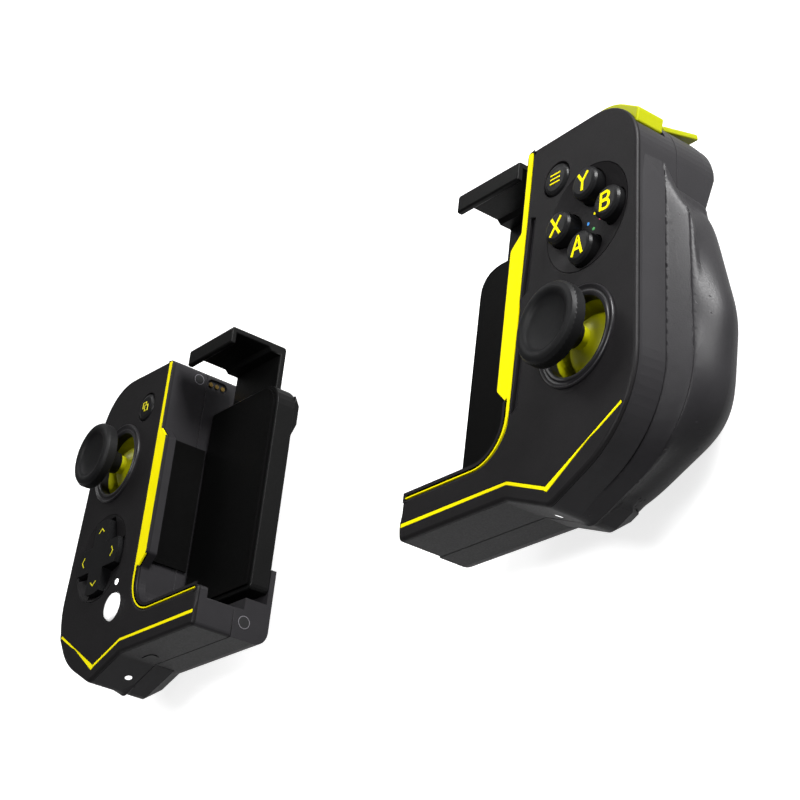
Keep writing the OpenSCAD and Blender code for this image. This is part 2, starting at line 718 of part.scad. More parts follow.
module left_stick_housing() color(trigger_yellow) left() at_stick(upper_y) stick_housing_form();
module right_stick_housing() color(trigger_yellow) right() at_stick(lower_y)
    stick_housing_form();
yoke_r = 5.3;
yoke_bore_r = 3.9;
module stick_yoke_form() {
    difference() {
        peg(0, 0, pivot_depth - 1, pivot_depth + 1, yoke_r);
        peg(0, 0, 0, pivot_depth + 2, yoke_bore_r);
        along_y(-8, 8, trunnion_r - 0.1 + run_gap);
    }
    for (s = [-1, 1]) along_x(min(s * 4.9, s * 6.9), max(s * 4.9, s * 6.9), trunnion_r);
}
module left_stick_yoke() color(metal) left() at_stick(upper_y) stick_yoke_form();
module right_stick_yoke() color(metal) right() at_stick(lower_y) stick_yoke_form();
module stick_rocker_form() {
    difference() {
        union() {
            peg(0, 0, pivot_depth - 1.5, pivot_depth + 1.5, 3.2);
            along_y(-5, 5, trunnion_r - 0.1);
        }
        peg(0, 0, 0, pivot_depth + 2, shaft_r + run_gap);
    }
}
module left_stick_rocker() color(metal) left() at_stick(upper_y) stick_rocker_form();
module right_stick_rocker() color(metal) right() at_stick(lower_y) stick_rocker_form();
dome_t = 0.9;
dome_rim = 3.7;
module stick_dome_form() {
    rotate_extrude() difference() {
        union() {
            intersection() {
                translate([0, -pivot_depth]) difference() {
                    circle(r = dome_r);
                    circle(r = dome_r - dome_t);
                }
                translate([0, -pivot_depth + dome_rim]) square([dome_r + 1, dome_r + 1]);
            }
            translate([0, dome_r - pivot_depth - 1.6]) square([2.7, 2.8]);
        }
        translate([-dome_r - 1, -2 * dome_r]) square([dome_r + 1 + shaft_r + 0.02, 4 * dome_r]);
    }
}
module left_stick_dome() color(trigger_yellow) left() at_stick(upper_y) stick_dome_form();
module right_stick_dome() color(trigger_yellow) right() at_stick(lower_y) stick_dome_form();
module stick_cap_form() {
    neck_z = dome_r - pivot_depth + 1.25;
    rim_z = cap_top - cap_rim;
    rotate_extrude() polygon([
        [0, -pivot_depth - 1.8], [shaft_r, -pivot_depth - 1.8], [shaft_r, neck_z], [3, neck_z],
        [3.4, neck_z + 2], [6.4, rim_z], [cap_r - 0.9, rim_z], [cap_r - 0.1, rim_z + 0.9],
        [cap_r, rim_z + 1.6], [cap_r, cap_top - 1], [cap_r - 0.4, cap_top - 0.3],
        [cap_r - 1.2, cap_top], [cap_r - 2.4, cap_top - 0.1], [cap_r - 3.2, cap_top - 0.8],
        [cap_r - 5.4, cap_top - 1.3], [0, cap_top - 1.5]]);
}
module left_stick_cap() color(part_black) left() at_stick(upper_y) stick_cap_form();
module right_stick_cap() color(part_black) right() at_stick(lower_y) stick_cap_form();

// Dishes: a shallow bowl under the face, flanged behind the plate
dish_floor = 3.6;
function bowl(r) = -dish_depth * (1 - pow(r / (dish_r - 0.1), 2));
module dish_form(y) {
    translate([control_x, y, 0]) difference() {
        rotate_extrude() polygon(concat(
            [[0, -dish_floor], [dish_r + 0.8, -dish_floor], [dish_r + 0.8, -plate_t],
             [dish_r - 0.1, -plate_t]],
            [for (i = [0 : 8]) let (r = (dish_r - 0.1) * (1 - i / 8)) [r, bowl(r)]]));
        children();
    }
}
module button_dish() color(face_black) right() dish_form(upper_y)
    for (a = [0 : 90 : 270]) rotate(a)
        peg(button_pitch, 0, -1, dish_floor + 1, button_r + button_gap);
module dpad_dish() color(face_black) left() dish_form(lower_y)
    layer(-1, dish_floor + 1) cross_outline(button_gap + 0.25);

// Face buttons: a domed cap, a flange under the dish and a stem to the switches
flange_t = 1;
module face_button(x, y, r, h, flange_top, end) {
    translate([x, y, 0]) rotate_extrude() polygon([
        [0, -end], [1.6, -end], [1.6, -flange_top - flange_t], [r + 0.8, -flange_top - flange_t],
        [r + 0.8, -flange_top], [r, -flange_top], [r, h - 0.9], [r - 0.35, h - 0.35],
        [r - 1.1, h - 0.1], [0, h]]);
}
module dish_button(dx, dy) {
    right() face_button(control_x + dx, upper_y + dy, button_r, button_h,
                        dish_floor + slip_gap, stem_end);
}
module a_button() color(part_black) dish_button(0, -button_pitch);
module b_button() color(part_black) dish_button(button_pitch, 0);
module x_button() color(part_black) dish_button(-button_pitch, 0);
module y_button() color(part_black) dish_button(0, button_pitch);
small_flange = dish_floor + slip_gap;
module menu_button() color(part_black) right()
    face_button(small_x, small_y, small_r, 0.5, small_flange, stem_end);
module view_button() color(part_black) left()
    face_button(small_x, small_y, small_r, 0.5, small_flange, stem_end);
module home_button() color("white") left()
    face_button(small_x, home_y, small_r, 0.7, small_flange, stem_end);

// Pairing button in the arm's underside
pairing_x = -1.2;
pairing_depth = 7.8;
pairing_w = 5.6;
pairing_h = 2.6;
module pairing_button() color(part_black) left()
    translate([pairing_x, -arm_drop, -pairing_depth]) rotate([-90, 0, 0]) {
        translate([0, 0, -0.2]) linear_extrude(wall + 0.7) pill(pairing_w, pairing_h);
        translate([0, 0, wall + 0.3]) linear_extrude(0.8) pill(pairing_w + 1.6, pairing_h + 1.6);
    }

// Cross: held under the dish by a wider plate, and rocking both ways on a small
// spider whose one arm lies in the base's saddles and whose other arm the cross rides
cross_body = 4.7;
cross_plate_t = 0.8;
cross_plate_r = 10.2;
spider_depth = 6.9;
spider_arm_r = 1;
spider_arm_l = 7.4;
saddle_x = 3;
saddle_t = 1.2;
base_t = 0.8;
module cross_outline(grow) {
    for (a = [0, 90]) rotate(a) offset(delta = grow)
        square([cross_l, cross_w], center = true);
}
module at_cross() {
    translate([control_x, lower_y, 0]) children();
}
module spider_arm(r, l) {
    translate([-l / 2, 0, -spider_depth]) rotate([0, 90, 0]) cylinder(r = r, h = l);
}
module dpad_cross() color(part_black) left() at_cross() {
    layer(-cross_h, cross_body + cut) intersection() {
        cross_outline(0);
        circle(r = cross_l / 2);
    }
    peg(0, 0, cross_body, cross_body + cross_plate_t, cross_plate_r);
    for (a = [0 : 90 : 270]) rotate(a)
        peg(button_pitch, 0, cross_body + cross_plate_t, stem_end, 1.5);
    difference() {
        for (s = [-1, 1]) brick(-1.6, 1.6, s * saddle_x - saddle_t / 2, s * saddle_x + saddle_t / 2,
                                cross_body + cross_plate_t, spider_depth + 1.6);
        rotate(90) spider_arm(spider_arm_r + run_gap, 10);
    }
}
module dpad_spider() color(metal) left() at_cross() {
    spider_arm(spider_arm_r, spider_arm_l);
    rotate(90) spider_arm(spider_arm_r, spider_arm_l);
}
module dpad_base() color(part_black) left() at_cross() {
    base_top = board_depth - switch_pad_t - base_t;
    peg(0, 0, base_top, board_depth - switch_pad_t, 4.4);
    difference() {
        for (s = [-1, 1]) brick(s * saddle_x - saddle_t / 2, s * saddle_x + saddle_t / 2,
                                -1.6, 1.6, spider_depth - 0.4, base_top + cut);
        spider_arm(spider_arm_r + run_gap, 10);
    }
}

// Silicone switch pad: flat discs with a low dome under each control
module pad_spot(x, y) {
    peg(x, y, board_depth - switch_pad_t, board_depth, 3.2);
    peg(x, y, board_depth - switch_pad_t - switch_dome_h, board_depth - switch_pad_t, 2.4);
}
module switch_pad_form(y) {
    peg(control_x, y, board_depth - switch_pad_t, board_depth, 12);
    pad_strip(y, small_y);
    for (a = [0 : 90 : 270])
        pad_spot(control_x + button_pitch * cos(a), y + button_pitch * sin(a));
    pad_spot(small_x, small_y);
}
module pad_strip(y0, y1) {
    brick(small_x - 1.5, small_x + 2.1, min(y0, y1), max(y0, y1), board_depth - switch_pad_t,
          board_depth);
}
module left_switch_pad() color(metal) left() {
    switch_pad_form(lower_y);
    pad_strip(lower_y, home_y);
    pad_spot(small_x, home_y);
}
module right_switch_pad() color(metal) right() switch_pad_form(upper_y);

board_x = [8.2, body_w - 9.4];
board_y = [0, body_top - 15.7];
board_tab = [board_x[0] + 8.8, body_top - 8.9];
module main_board_form() {
    layer(board_depth, board_depth + board_t) difference() {
        union() {
            window(board_x[0], board_x[1], board_y[0], board_y[1]);
            window(board_x[0], board_tab[0], board_y[1] - 1, board_tab[1]);
        }
        translate(screw_places[2]) circle(r = boss_r + 0.8);
    }
}
module left_main_board() color(board_green) left() main_board_form();
module right_main_board() color(board_green) right() main_board_form();
battery_in = 7.8;
battery_foot = 6;
battery_head = 20.8;
battery_t = 7;
battery_x = [board_x[0] + battery_in, board_x[1] + 2];
battery_y = [board_y[0] + battery_foot, board_y[1] - battery_head];
module battery_form() {
    top = board_depth + board_t + slip_gap;
    brick(battery_x[0], battery_x[1], battery_y[0], battery_y[1], top, top + battery_t);
}
module left_battery() color(metal) left() battery_form();
module right_battery() color(metal) right() battery_form();

module case_screw(p) {
    difference() {
        union() {
            peg(p[0], p[1], screw_seat, screw_seat + 1.4, screw_head_r);
            peg(p[0], p[1], plate_t + 3, screw_seat, screw_r);
        }
        translate([p[0], p[1], -screw_seat - 1.4 - cut]) cylinder(r = 0.9, h = 0.8, $fn = 6);
    }
}
module left_case_screws() color(metal) left() for (p = screw_places) case_screw(p);
module right_case_screws() color(metal) right() for (p = screw_places) case_screw(p);

// Magnets in the arm's end and in the end wall
arm_magnet = [-5.75, 15.5];
wall_magnet = [74.4, 9.4];
magnet_t = 1.2;
module arm_disc(r, t) {
    translate([-arm_len, arm_magnet[0], -arm_magnet[1]]) rotate([0, 90, 0])
        cylinder(r = r, h = t);
}
module wall_disc(r, t) {
    translate([0, wall_magnet[0], -wall_magnet[1]]) rotate([0, 90, 0]) cylinder(r = r, h = t);
}
module magnet_pocket_arm() {
    translate([-cut, 0, 0]) arm_disc(magnet_r + run_gap, magnet_t + cut);
}
module magnet_pocket_wall() {
    translate([-cut, 0, 0]) wall_disc(magnet_r - 0.2 + run_gap, magnet_t + cut);
}
module magnets_form() {
    arm_disc(magnet_r, magnet_t);
    wall_disc(magnet_r - 0.2, magnet_t);
}
module left_magnets() color(metal) left() magnets_form();
module right_magnets() color(metal) right() magnets_form();

// Charging contacts in a pill-shaped recess of the end wall
contact_y = 74.4;
contact_depth = 15.6;
contact_recess_t = 0.8;
module contact_recess() {
    translate([-cut, contact_y, -contact_depth]) rotate([0, 90, 0])
        linear_extrude(contact_recess_t + cut) pill(6.6, 3.2);
}
module charge_contacts() color("gold") left() for (i = [-1 : 1])
    translate([contact_recess_t - 0.5, contact_y, -contact_depth + i * 2]) rotate([0, 90, 0])
        cylinder(r = 0.65, h = 0.5);

// Light pipes: one beside the home button, one in the underside of each grip
light_place = [11.2, 8.8];
light_slope = atan2(chin_drop - arm_drop, chin[0] - arm_turn_x);
module at_bottom_light() {
    y = -arm_drop - (light_place[0] - arm_turn_x) * tan(light_slope);
    translate([light_place[0], y, -light_place[1]]) rotate([0, 0, -light_slope])
        rotate([-90, 0, 0]) children();
}
module bottom_light_hole() {
    at_bottom_light() translate([0, 0, -1]) cylinder(r = 1 + run_gap, h = wall + 3);
}
module bottom_light() {
    at_bottom_light() translate([0, 0, 0.05]) cylinder(r = 1, h = wall + 1);
}
module left_lights() color("white") left() {
    bottom_light();
    peg(light_x, light_y, 0, board_depth - switch_pad_t - slip_gap, light_r);
}
module right_light() color("white") right() bottom_light();

// Both pieces stand on the flat backs of their grips, centred on the origin
function top_of(points) = max([for (p = points) p[1]]);
trigger_top = trigger_pivot[0] + (blade_y - trigger_pivot[0]) * cos(trigger_swing)
    + (trigger_front + blade_len + trigger_pivot[1]) * sin(trigger_swing);
part_top = max(trigger_top, top_of(rounded(bumper_corners)));
part_bottom = min([for (p = rounded(seam_corners)) p[1]]);
mid_y = (part_top + part_bottom) / 2;
module right() {
    translate([phone_len / 2, -mid_y, grip_depth]) children();
}
module left() {
    translate([-phone_len / 2, -mid_y, grip_depth]) mirror([1, 0, 0]) children();
}

left_face_plate();
left_front_shell();
left_rear_shell();
left_inlay();
left_back_panel();
left_phone_pads();
left_clamp_jaw();
left_jaw_spring();
left_bumper();
left_trigger();
left_trigger_spring();
left_stick_ring();
left_stick_housing();
left_stick_yoke();
left_stick_rocker();
left_stick_dome();
left_stick_cap();
left_main_board();
left_battery();
left_case_screws();
left_magnets();
left_lights();
left_switch_pad();
dpad_dish();
dpad_base();
dpad_spider();
dpad_cross();
view_button();
home_button();
pairing_button();
charge_contacts();
right_face_plate();
right_front_shell();
right_rear_shell();
right_inlay();
right_back_panel();
right_phone_pads();
right_clamp_jaw();
right_jaw_spring();
right_bumper();
right_trigger();
right_trigger_spring();
right_stick_ring();
right_stick_housing();
right_stick_yoke();
right_stick_rocker();
right_stick_dome();
right_stick_cap();
right_main_board();
right_battery();
right_case_screws();
right_magnets();
right_light();
right_switch_pad();
button_dish();
a_button();
b_button();
x_button();
y_button();
menu_button();
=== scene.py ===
import json
import math

import bmesh
import bpy
import numpy as np
from mathutils import Matrix, Vector, geometry
from mathutils.bvhtree import BVHTree
from mathutils.kdtree import KDTree

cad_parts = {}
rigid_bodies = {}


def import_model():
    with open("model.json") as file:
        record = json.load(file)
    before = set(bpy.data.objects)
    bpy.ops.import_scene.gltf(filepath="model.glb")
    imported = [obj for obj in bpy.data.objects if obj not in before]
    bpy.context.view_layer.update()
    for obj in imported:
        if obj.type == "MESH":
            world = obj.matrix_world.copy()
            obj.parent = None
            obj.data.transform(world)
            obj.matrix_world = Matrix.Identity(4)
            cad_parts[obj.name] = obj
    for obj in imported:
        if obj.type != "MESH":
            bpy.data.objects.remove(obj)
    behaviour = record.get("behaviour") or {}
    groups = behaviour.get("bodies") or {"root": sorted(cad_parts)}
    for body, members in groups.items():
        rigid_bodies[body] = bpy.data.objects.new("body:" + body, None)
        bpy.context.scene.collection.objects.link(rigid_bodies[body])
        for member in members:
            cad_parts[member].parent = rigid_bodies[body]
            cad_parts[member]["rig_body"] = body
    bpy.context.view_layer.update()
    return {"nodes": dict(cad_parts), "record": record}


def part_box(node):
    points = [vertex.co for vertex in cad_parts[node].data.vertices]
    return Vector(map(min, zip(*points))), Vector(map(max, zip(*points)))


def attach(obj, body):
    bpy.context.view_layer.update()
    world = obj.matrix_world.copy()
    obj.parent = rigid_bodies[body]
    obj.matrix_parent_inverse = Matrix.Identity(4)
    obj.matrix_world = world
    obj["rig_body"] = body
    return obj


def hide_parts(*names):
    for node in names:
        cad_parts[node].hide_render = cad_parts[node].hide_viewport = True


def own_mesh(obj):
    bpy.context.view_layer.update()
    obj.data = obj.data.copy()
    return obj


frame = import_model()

NODES = frame["nodes"]
MM = 0.001
SCENE = bpy.context.scene

# The local frame of each half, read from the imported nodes: x outward from the end
# wall, y up from the arm's top edge, z out of the face, all in millimetres.
WALL_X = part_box("right_back_panel")[1].x
FACE_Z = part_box("right_face_plate")[1].z
HOME_Y = 4.4
DATUM_Y = sum(v.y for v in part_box("home_button")) / 2 - HOME_Y * MM
SIDES = {"right": 1, "left": -1}


def place(side, p):
    """A point of a half's local frame, in the row frame."""
    x = WALL_X + p[0] * MM
    return Vector((SIDES[side] * x, DATUM_Y + p[1] * MM, FACE_Z + p[2] * MM))


def centre(node):
    """Middle of a node's box."""
    low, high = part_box(node)
    return (low + high) / 2


# Materials

# Lumps of the mottling to a metre, the part of the noise that is used, and the coat's gloss
MOTTLE_SCALE = 120
NOISE_LOW, NOISE_HIGH = 0.3, 0.7
COAT_ROUGH = 0.12


def linear(code):
    """A colour written as six hex digits, in linear light."""
    values = [int(code[i:i + 2], 16) / 255 for i in (0, 2, 4)]
    return [v / 12.92 if v <= 0.04045 else ((v + 0.055) / 1.055) ** 2.4 for v in values]


def finish_of(name, colour, rough, grain=0.35, bump=0.2, mottle=0.1, metal=0.0, level=0.5,
              coat=0.0, spread=0.05, streak=None, glow=0.0):
    """Moulded or metal surface: broad mottling, a fine grain in the normal and a roughness
    that wanders a little. Sizes are in millimetres."""
    made = bpy.data.materials.new(name)
    made.use_nodes = True
    tree = made.node_tree
    node, link = tree.nodes.new, tree.links.new
    shader = tree.nodes["Principled BSDF"]
    shader.inputs["Metallic"].default_value = metal
    shader.inputs["Specular IOR Level"].default_value = level
    shader.inputs["Coat Weight"].default_value = coat
    shader.inputs["Coat Roughness"].default_value = COAT_ROUGH
    where = node("ShaderNodeTexCoord")
    spot = where.outputs["Object"]
    if streak:
        stretch = node("ShaderNodeMapping")
        stretch.inputs["Scale"].default_value = streak
        link(spot, stretch.inputs["Vector"])
        spot = stretch.outputs["Vector"]

    broad = node("ShaderNodeTexNoise")
    broad.inputs["Scale"].default_value = MOTTLE_SCALE
    broad.inputs["Detail"].default_value = 4
    link(spot, broad.inputs["Vector"])
    fine = node("ShaderNodeTexNoise")
    fine.inputs["Scale"].default_value = 1000 / grain
    fine.inputs["Detail"].default_value = 2
    link(spot, fine.inputs["Vector"])

    shade = node("ShaderNodeValToRGB")
    base = linear(colour)
    for stop, factor in zip(shade.color_ramp.elements, (1 - mottle, 1 + mottle)):
        stop.color = [min(c * factor, 1) for c in base] + [1]
    shade.color_ramp.elements[0].position = NOISE_LOW
    shade.color_ramp.elements[1].position = NOISE_HIGH
    link(broad.outputs["Fac"], shade.inputs["Fac"])
    link(shade.outputs["Color"], shader.inputs["Base Color"])

    gloss = node("ShaderNodeMapRange")
    gloss.inputs["From Min"].default_value = NOISE_LOW
    gloss.inputs["From Max"].default_value = NOISE_HIGH
    gloss.inputs["To Min"].default_value = rough - spread
    gloss.inputs["To Max"].default_value = rough + spread
    link(fine.outputs["Fac"], gloss.inputs["Value"])
    link(gloss.outputs["Result"], shader.inputs["Roughness"])

    relief = node("ShaderNodeBump")
    relief.inputs["Strength"].default_value = bump
    relief.inputs["Distance"].default_value = grain * 0.25 * MM
    link(fine.outputs["Fac"], relief.inputs["Height"])
    link(relief.outputs["Normal"], shader.inputs["Normal"])
    if glow:
        shader.inputs["Emission Color"].default_value = linear(colour) + [1]
        shader.inputs["Emission Strength"].default_value = glow
    return made


FINISH = {
    "face": finish_of("face_plastic", "171617", 0.45, grain=0.3, bump=0.2, level=0.1),
    "shell": finish_of("shell_plastic", "1e1d1f", 0.44, grain=0.35, bump=0.18, level=0.17),
    "inlay": finish_of("inlay_yellow", "dcd000", 0.45, grain=0.5, bump=0.06, mottle=0.03,
                       level=0.05),
    "clamp_black": finish_of("clamp_plastic", "080808", 0.42, grain=0.4, bump=0.1, level=0.1),
    "pad_rubber": finish_of("pad_rubber", "040404", 0.4, grain=0.6, bump=0.03, mottle=0.06,
                            level=0.05),
    "shoulder_yellow": finish_of("shoulder_yellow", "8e9200", 0.36, grain=0.5, bump=0.05,
                                 mottle=0.04, level=0.15),
    "stick_yellow": finish_of("stick_yellow", "b4b400", 0.35, grain=0.4, bump=0.08, mottle=0.06),
    "stick_rubber": finish_of("stick_rubber", "0f0f10", 0.5, grain=0.25, bump=0.3, level=0.14),
    "stick_ring": finish_of("stick_ring", "1a191b", 0.34, grain=0.3, bump=0.1, level=0.3),
    "key_black": finish_of("key_plastic", "101011", 0.36, grain=0.3, bump=0.1, level=0.14),
    # The white home button glows faintly: painted light, as the button is no lamp.
    "home_white": finish_of("home_white", "f4f4f4", 0.18, grain=0.8, bump=0.03, mottle=0.02,
                            coat=0.4, glow=0.25),
    "light_white": finish_of("light_white", "ffffff", 0.25, grain=0.4, bump=0.03, mottle=0.01,
                             glow=1.0),
    "steel": finish_of("steel", "b9bbbe", 0.3, grain=0.3, bump=0.1, metal=1, streak=(1, 8, 1)),
    "board": finish_of("board_green", "14502f", 0.45, grain=0.6, bump=0.15, mottle=0.2),
    "battery": finish_of("battery_wrap", "4a4d52", 0.4, grain=1.2, bump=0.2, metal=0.4),
    "contact_gold": finish_of("contact_gold", "7a6436", 0.35, grain=0.3, bump=0.05, metal=1),
    "pad_silicone": finish_of("pad_silicone", "c9cbcd", 0.5, grain=0.5, bump=0.1, mottle=0.04),
}
PRINT = {
    "yellow": finish_of("print_yellow", "e4d600", 0.45, grain=0.3, bump=0.05, mottle=0.03,
                        level=0.05),
    "line": finish_of("print_line", "c8c000", 0.5, grain=0.3, bump=0.05, mottle=0.05),
    "pink": finish_of("print_pink", "d6336c", 0.45, grain=0.3, bump=0.05, mottle=0.05),
    "blue": finish_of("print_blue", "2f86d6", 0.45, grain=0.3, bump=0.05, mottle=0.05),
    "green": finish_of("print_green", "3f9a4e", 0.45, grain=0.3, bump=0.05, mottle=0.05),
    "magnet": finish_of("magnet_dark", "161617", 0.4, grain=0.5, bump=0.08, level=0.3),
    "edge": finish_of("edge_satin", "77757a", 0.3, grain=0.3, bump=0.08, metal=0.5),
}

SLOT_OF = {}
for row in frame["record"]["materials"]:
    for name in row.get("nodes", []):
        SLOT_OF[name] = row["slot"]


def dress(obj, finish):
    """Gives an object's material slots a finish of its own, without touching its mesh."""
    if not obj.material_slots:
        obj.data.materials.append(finish)
    for each in obj.material_slots:
        each.link = "OBJECT"
        each.material = finish


for name, obj in NODES.items():
    cad = obj.material_slots[0].material.name if obj.material_slots else ""
    slot = SLOT_OF.get(name) or cad.split(".")[0]
    SLOT_OF[name] = slot
    dress(obj, FINISH[slot])


# Mesh helpers

BODY_OF = {name: obj["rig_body"] for name, obj in NODES.items()}

# A flat area: how close its faces' normals lie, its least size in square millimetres, and
# its least size as a share of the square of its length
FLAT_DOT, FLAT_AREA, FLAT_SHARE = 0.999995, 3.0, 0.06
# A face is level where its normal is this upright
LEVEL_NORMAL = 0.999
# Corners of a node nearer than this are one, and edges shorter than this go, in metres.
# Faces that turn by less than this, in degrees, become one.
MERGE_NEAR, EDGE_LEAST, FACE_TURN = 2e-6, 1e-7, 0.6
# Rounds in which long edges are split, and steps round a corner of an outline
SPLIT_ROUNDS, CORNER_STEPS = 7, 8


def shade_smooth(bm):
    """Smooth shading, except on whole flat areas, which no rounding may shade across."""
    rest = set(bm.faces)
    for start in bm.faces:
        if start not in rest:
            continue
        rest.discard(start)
        area = [start]
        for face in area:
            for other in [f for e in face.edges for f in e.link_faces]:
                if other in rest and other.normal.dot(start.normal) > FLAT_DOT:
                    rest.discard(other)
                    area.append(other)
        size = sum(f.calc_area() for f in area) / MM ** 2
        spots = [v.co for f in area for v in f.verts]
        reach = (Vector(map(max, zip(*spots))) - Vector(map(min, zip(*spots)))).length / MM
        flat = size > FLAT_AREA and size > FLAT_SHARE * reach ** 2
        for face in area:
            face.smooth = not flat


def made_from(bm, name, body, finish, crease=35, smooth=True):
    """Puts a bmesh into the scene as a piece that rides a body."""
    mesh = bpy.data.meshes.new(name)
    bmesh.ops.recalc_face_normals(bm, faces=bm.faces)
    if smooth:
        shade_smooth(bm)
    bm.to_mesh(mesh)
    bm.free()
    if smooth:
        shading = [f.use_smooth for f in mesh.polygons]
        mesh.set_sharp_from_angle(angle=math.radians(crease))
        mesh.polygons.foreach_set("use_smooth", shading)
    obj = bpy.data.objects.new(name, mesh)
    SCENE.collection.objects.link(obj)
    mesh.materials.append(finish)
    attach(obj, body)
    return obj


def split_long(bm, chosen, size):
    """Splits the long edges of the chosen faces, so that they can take a curve. The edges
    stay in their order, so that each run gives the same mesh."""
    for _ in range(SPLIT_ROUNDS):
        long = dict.fromkeys(e for f in chosen(bm) for e in f.edges
                             if e.calc_length() > size * MM)
        if not long:
            break
        bmesh.ops.subdivide_edges(bm, edges=list(long), cuts=1)
        bmesh.ops.triangulate(bm, faces=[f for f in bm.faces if len(f.verts) > 3])


def rounded(corners):
    """Outline through corners (x, y, radius), as arrays of x and y."""
    points = []
    for before, at, after in zip(corners[-1:] + corners, corners, corners[1:] + corners[:1]):
        p = Vector(at[:2])
        u, v = (Vector(before[:2]) - p).normalized(), (Vector(after[:2]) - p).normalized()
        half = u.angle(v) / 2
        middle = p + (u + v).normalized() * at[2] / math.sin(half)
        start, end = (p + w * at[2] / math.tan(half) - middle for w in (u, v))
        points += [middle + start.lerp(end, k / CORNER_STEPS).normalized() * at[2]
                   for k in range(CORNER_STEPS + 1)]
    return np.array(points)


# The rows that a housing's side is drawn through, in a half's local frame: the depth and
# the corners (x, y, radius) of each outline. From the belly on the grip shrinks about its
# centre to the flat back. All rows of a run have the same number of corners.
GRIP_X, GRIP_Y = 25, 24
CREASE_DEPTH, SEAM_DEPTH, BELLY_DEPTH, FLAT_DEPTH = 8.0, 12.0, 20.0, 35.2
CREASE_CORNERS = [(12, 63, 0.1), (12, -12, 0.1), (18, -16.18, 3), (43.75, -3.1, 25),
                  (41.24, 27, 22), (38.73, 57.2, 2), (37.77, 63, 0.1)]
SEAM_CORNERS = [(12, 57.2, 0.1), (12, -14, 0.1), (18.2, -17, 3), (48.5, -2.2, 26),
                (45.15, 27, 22), (42.48, 50.2, 3), (38.38, 57.2, 0.1)]
BELLY_CORNERS = [(10, 57, 3), (10, -10, 3), (17, -13.6, 6), (49.6, 0.5, 16),
                 (50, 27, 22), (41.38, 50.6, 4), (38.38, 57, 3)]
# One row lies above the belly: its height over it, and its size beside it both ways
OVER_BELLY, OVER_ACROSS, OVER_ALONG = 4, 0.97, 0.985
# The rows below the belly, as shares of the way to the back
GRIP_STEPS = (0, 0.12, 0.28, 0.46, 0.64, 0.8, 0.92, 1)
# How softly the belly turns in, then how much the grip narrows below it, both ways: evenly,
# late, and the power by which the late part sets in
BELLY_EASE = 0.1
NARROW_ACROSS, NARROW_ALONG = (0.68, 0.06, 6), (0.44, 0.13, 3)
# The smooth curve is worked out at this many turns and at depths this far apart
ROW_TURNS, ROW_STEP = 240, 0.5
# How near to the facets a face lies that is one of theirs, and how short its edges get
FACET_NEAR, FACET_SIZE = 0.15, 1.1
# How far such a face stays from a run's ends and from the seam
END_MARGIN, SEAM_MARGIN = 0.01, 0.1
# The curve comes in slowly beside the region's edges, but not beside those that lie this
# near to the run's top and bottom
TOP_FREE, BOTTOM_FREE = 0.4, 0.3


def shrunk(across, along):
    """The belly's outline, shrunk about the grip's centre."""
    return [(GRIP_X + (x - GRIP_X) * across, GRIP_Y + (y - GRIP_Y) * along,
             radius * min(across, along)) for x, y, radius in BELLY_CORNERS]


def narrowed(step, even, late, power):
    """The grip's size at a step below the belly, as a share of the belly's."""
    return 1 - even * (math.hypot(step, BELLY_EASE) - BELLY_EASE) - late * step ** power


def grip_rows():
    """The grip's rows from the seam over the belly to the flat back."""
    rows = [(SEAM_DEPTH, SEAM_CORNERS),
            (BELLY_DEPTH - OVER_BELLY, shrunk(OVER_ACROSS, OVER_ALONG))]
    for step in GRIP_STEPS:
        rows.append((BELLY_DEPTH + (FLAT_DEPTH - BELLY_DEPTH) * step,
                     shrunk(narrowed(step, *NARROW_ACROSS), narrowed(step, *NARROW_ALONG))))
    return rows


def between(rows, depth):
    """Corners of the outline at a depth, in step between the rows above and below it."""
    for (top, upper), (bottom, lower) in zip(rows, rows[1:]):
        if depth <= bottom + 1e-6:
            break
    part = (depth - top) / (bottom - top)
    return [tuple(a + (b - a) * part for a, b in zip(p, q)) for p, q in zip(upper, lower)]


def reach_of(outline):
    """Distance from the grip's centre to an outline, in each direction round it."""
    p = outline - (GRIP_X, GRIP_Y)
    run = np.roll(p, -1, axis=0) - p
    reach = []
    for k in range(ROW_TURNS):
        a = 2 * math.pi * k / ROW_TURNS
        way = np.array([math.cos(a), math.sin(a)])
        across = way[0] * run[:, 1] - way[1] * run[:, 0]
        across[np.abs(across) < 1e-9] = 1e-9
        far = (p[:, 0] * run[:, 1] - p[:, 1] * run[:, 0]) / across
        part = (p[:, 0] * way[1] - p[:, 1] * way[0]) / across
        reach.append(far[(part >= -1e-6) & (part <= 1 + 1e-6) & (far > 0)].max())
    return reach


def blurred(grid, turns, steps):
    """A grid over turn (which wraps round) and depth (which runs on), blurred both ways."""
    def bell(spread):
        w = np.exp(-0.5 * (np.arange(-3 * spread, 3 * spread + 1) / max(spread, 1)) ** 2)
        return w / w.sum()
    wide = np.pad(grid, ((3 * turns, 3 * turns), (0, 0)), mode="wrap")
    grid = sum(w * wide[k:k + grid.shape[0]] for k, w in enumerate(bell(turns)))
    tall = np.pad(grid, ((0, 0), (3 * steps, 3 * steps)), mode="reflect", reflect_type="odd")
    return sum(w * tall[:, k:k + grid.shape[1]] for k, w in enumerate(bell(steps)))


def run_of(rows, turns, steps, blend, fade):
    """A run of rows as one smooth curve: its reach over turn and depth, the widths over
    which it meets its neighbours and its first row, and its rows."""
    depths = np.arange(rows[0][0], rows[-1][0] + 1e-6, ROW_STEP)
    table = np.array([reach_of(rounded(between(rows, depth))) for depth in depths]).T
    return {"rows": rows, "reach": blurred(table, turns, steps), "blend": blend, "fade": fade}


GRIP = run_of(grip_rows(), 3, 4, blend=2.0, fade=2.0)
FLARE = run_of([(CREASE_DEPTH, CREASE_CORNERS), (SEAM_DEPTH, SEAM_CORNERS)], 1, 0,
               blend=1.0, fade=0.6)


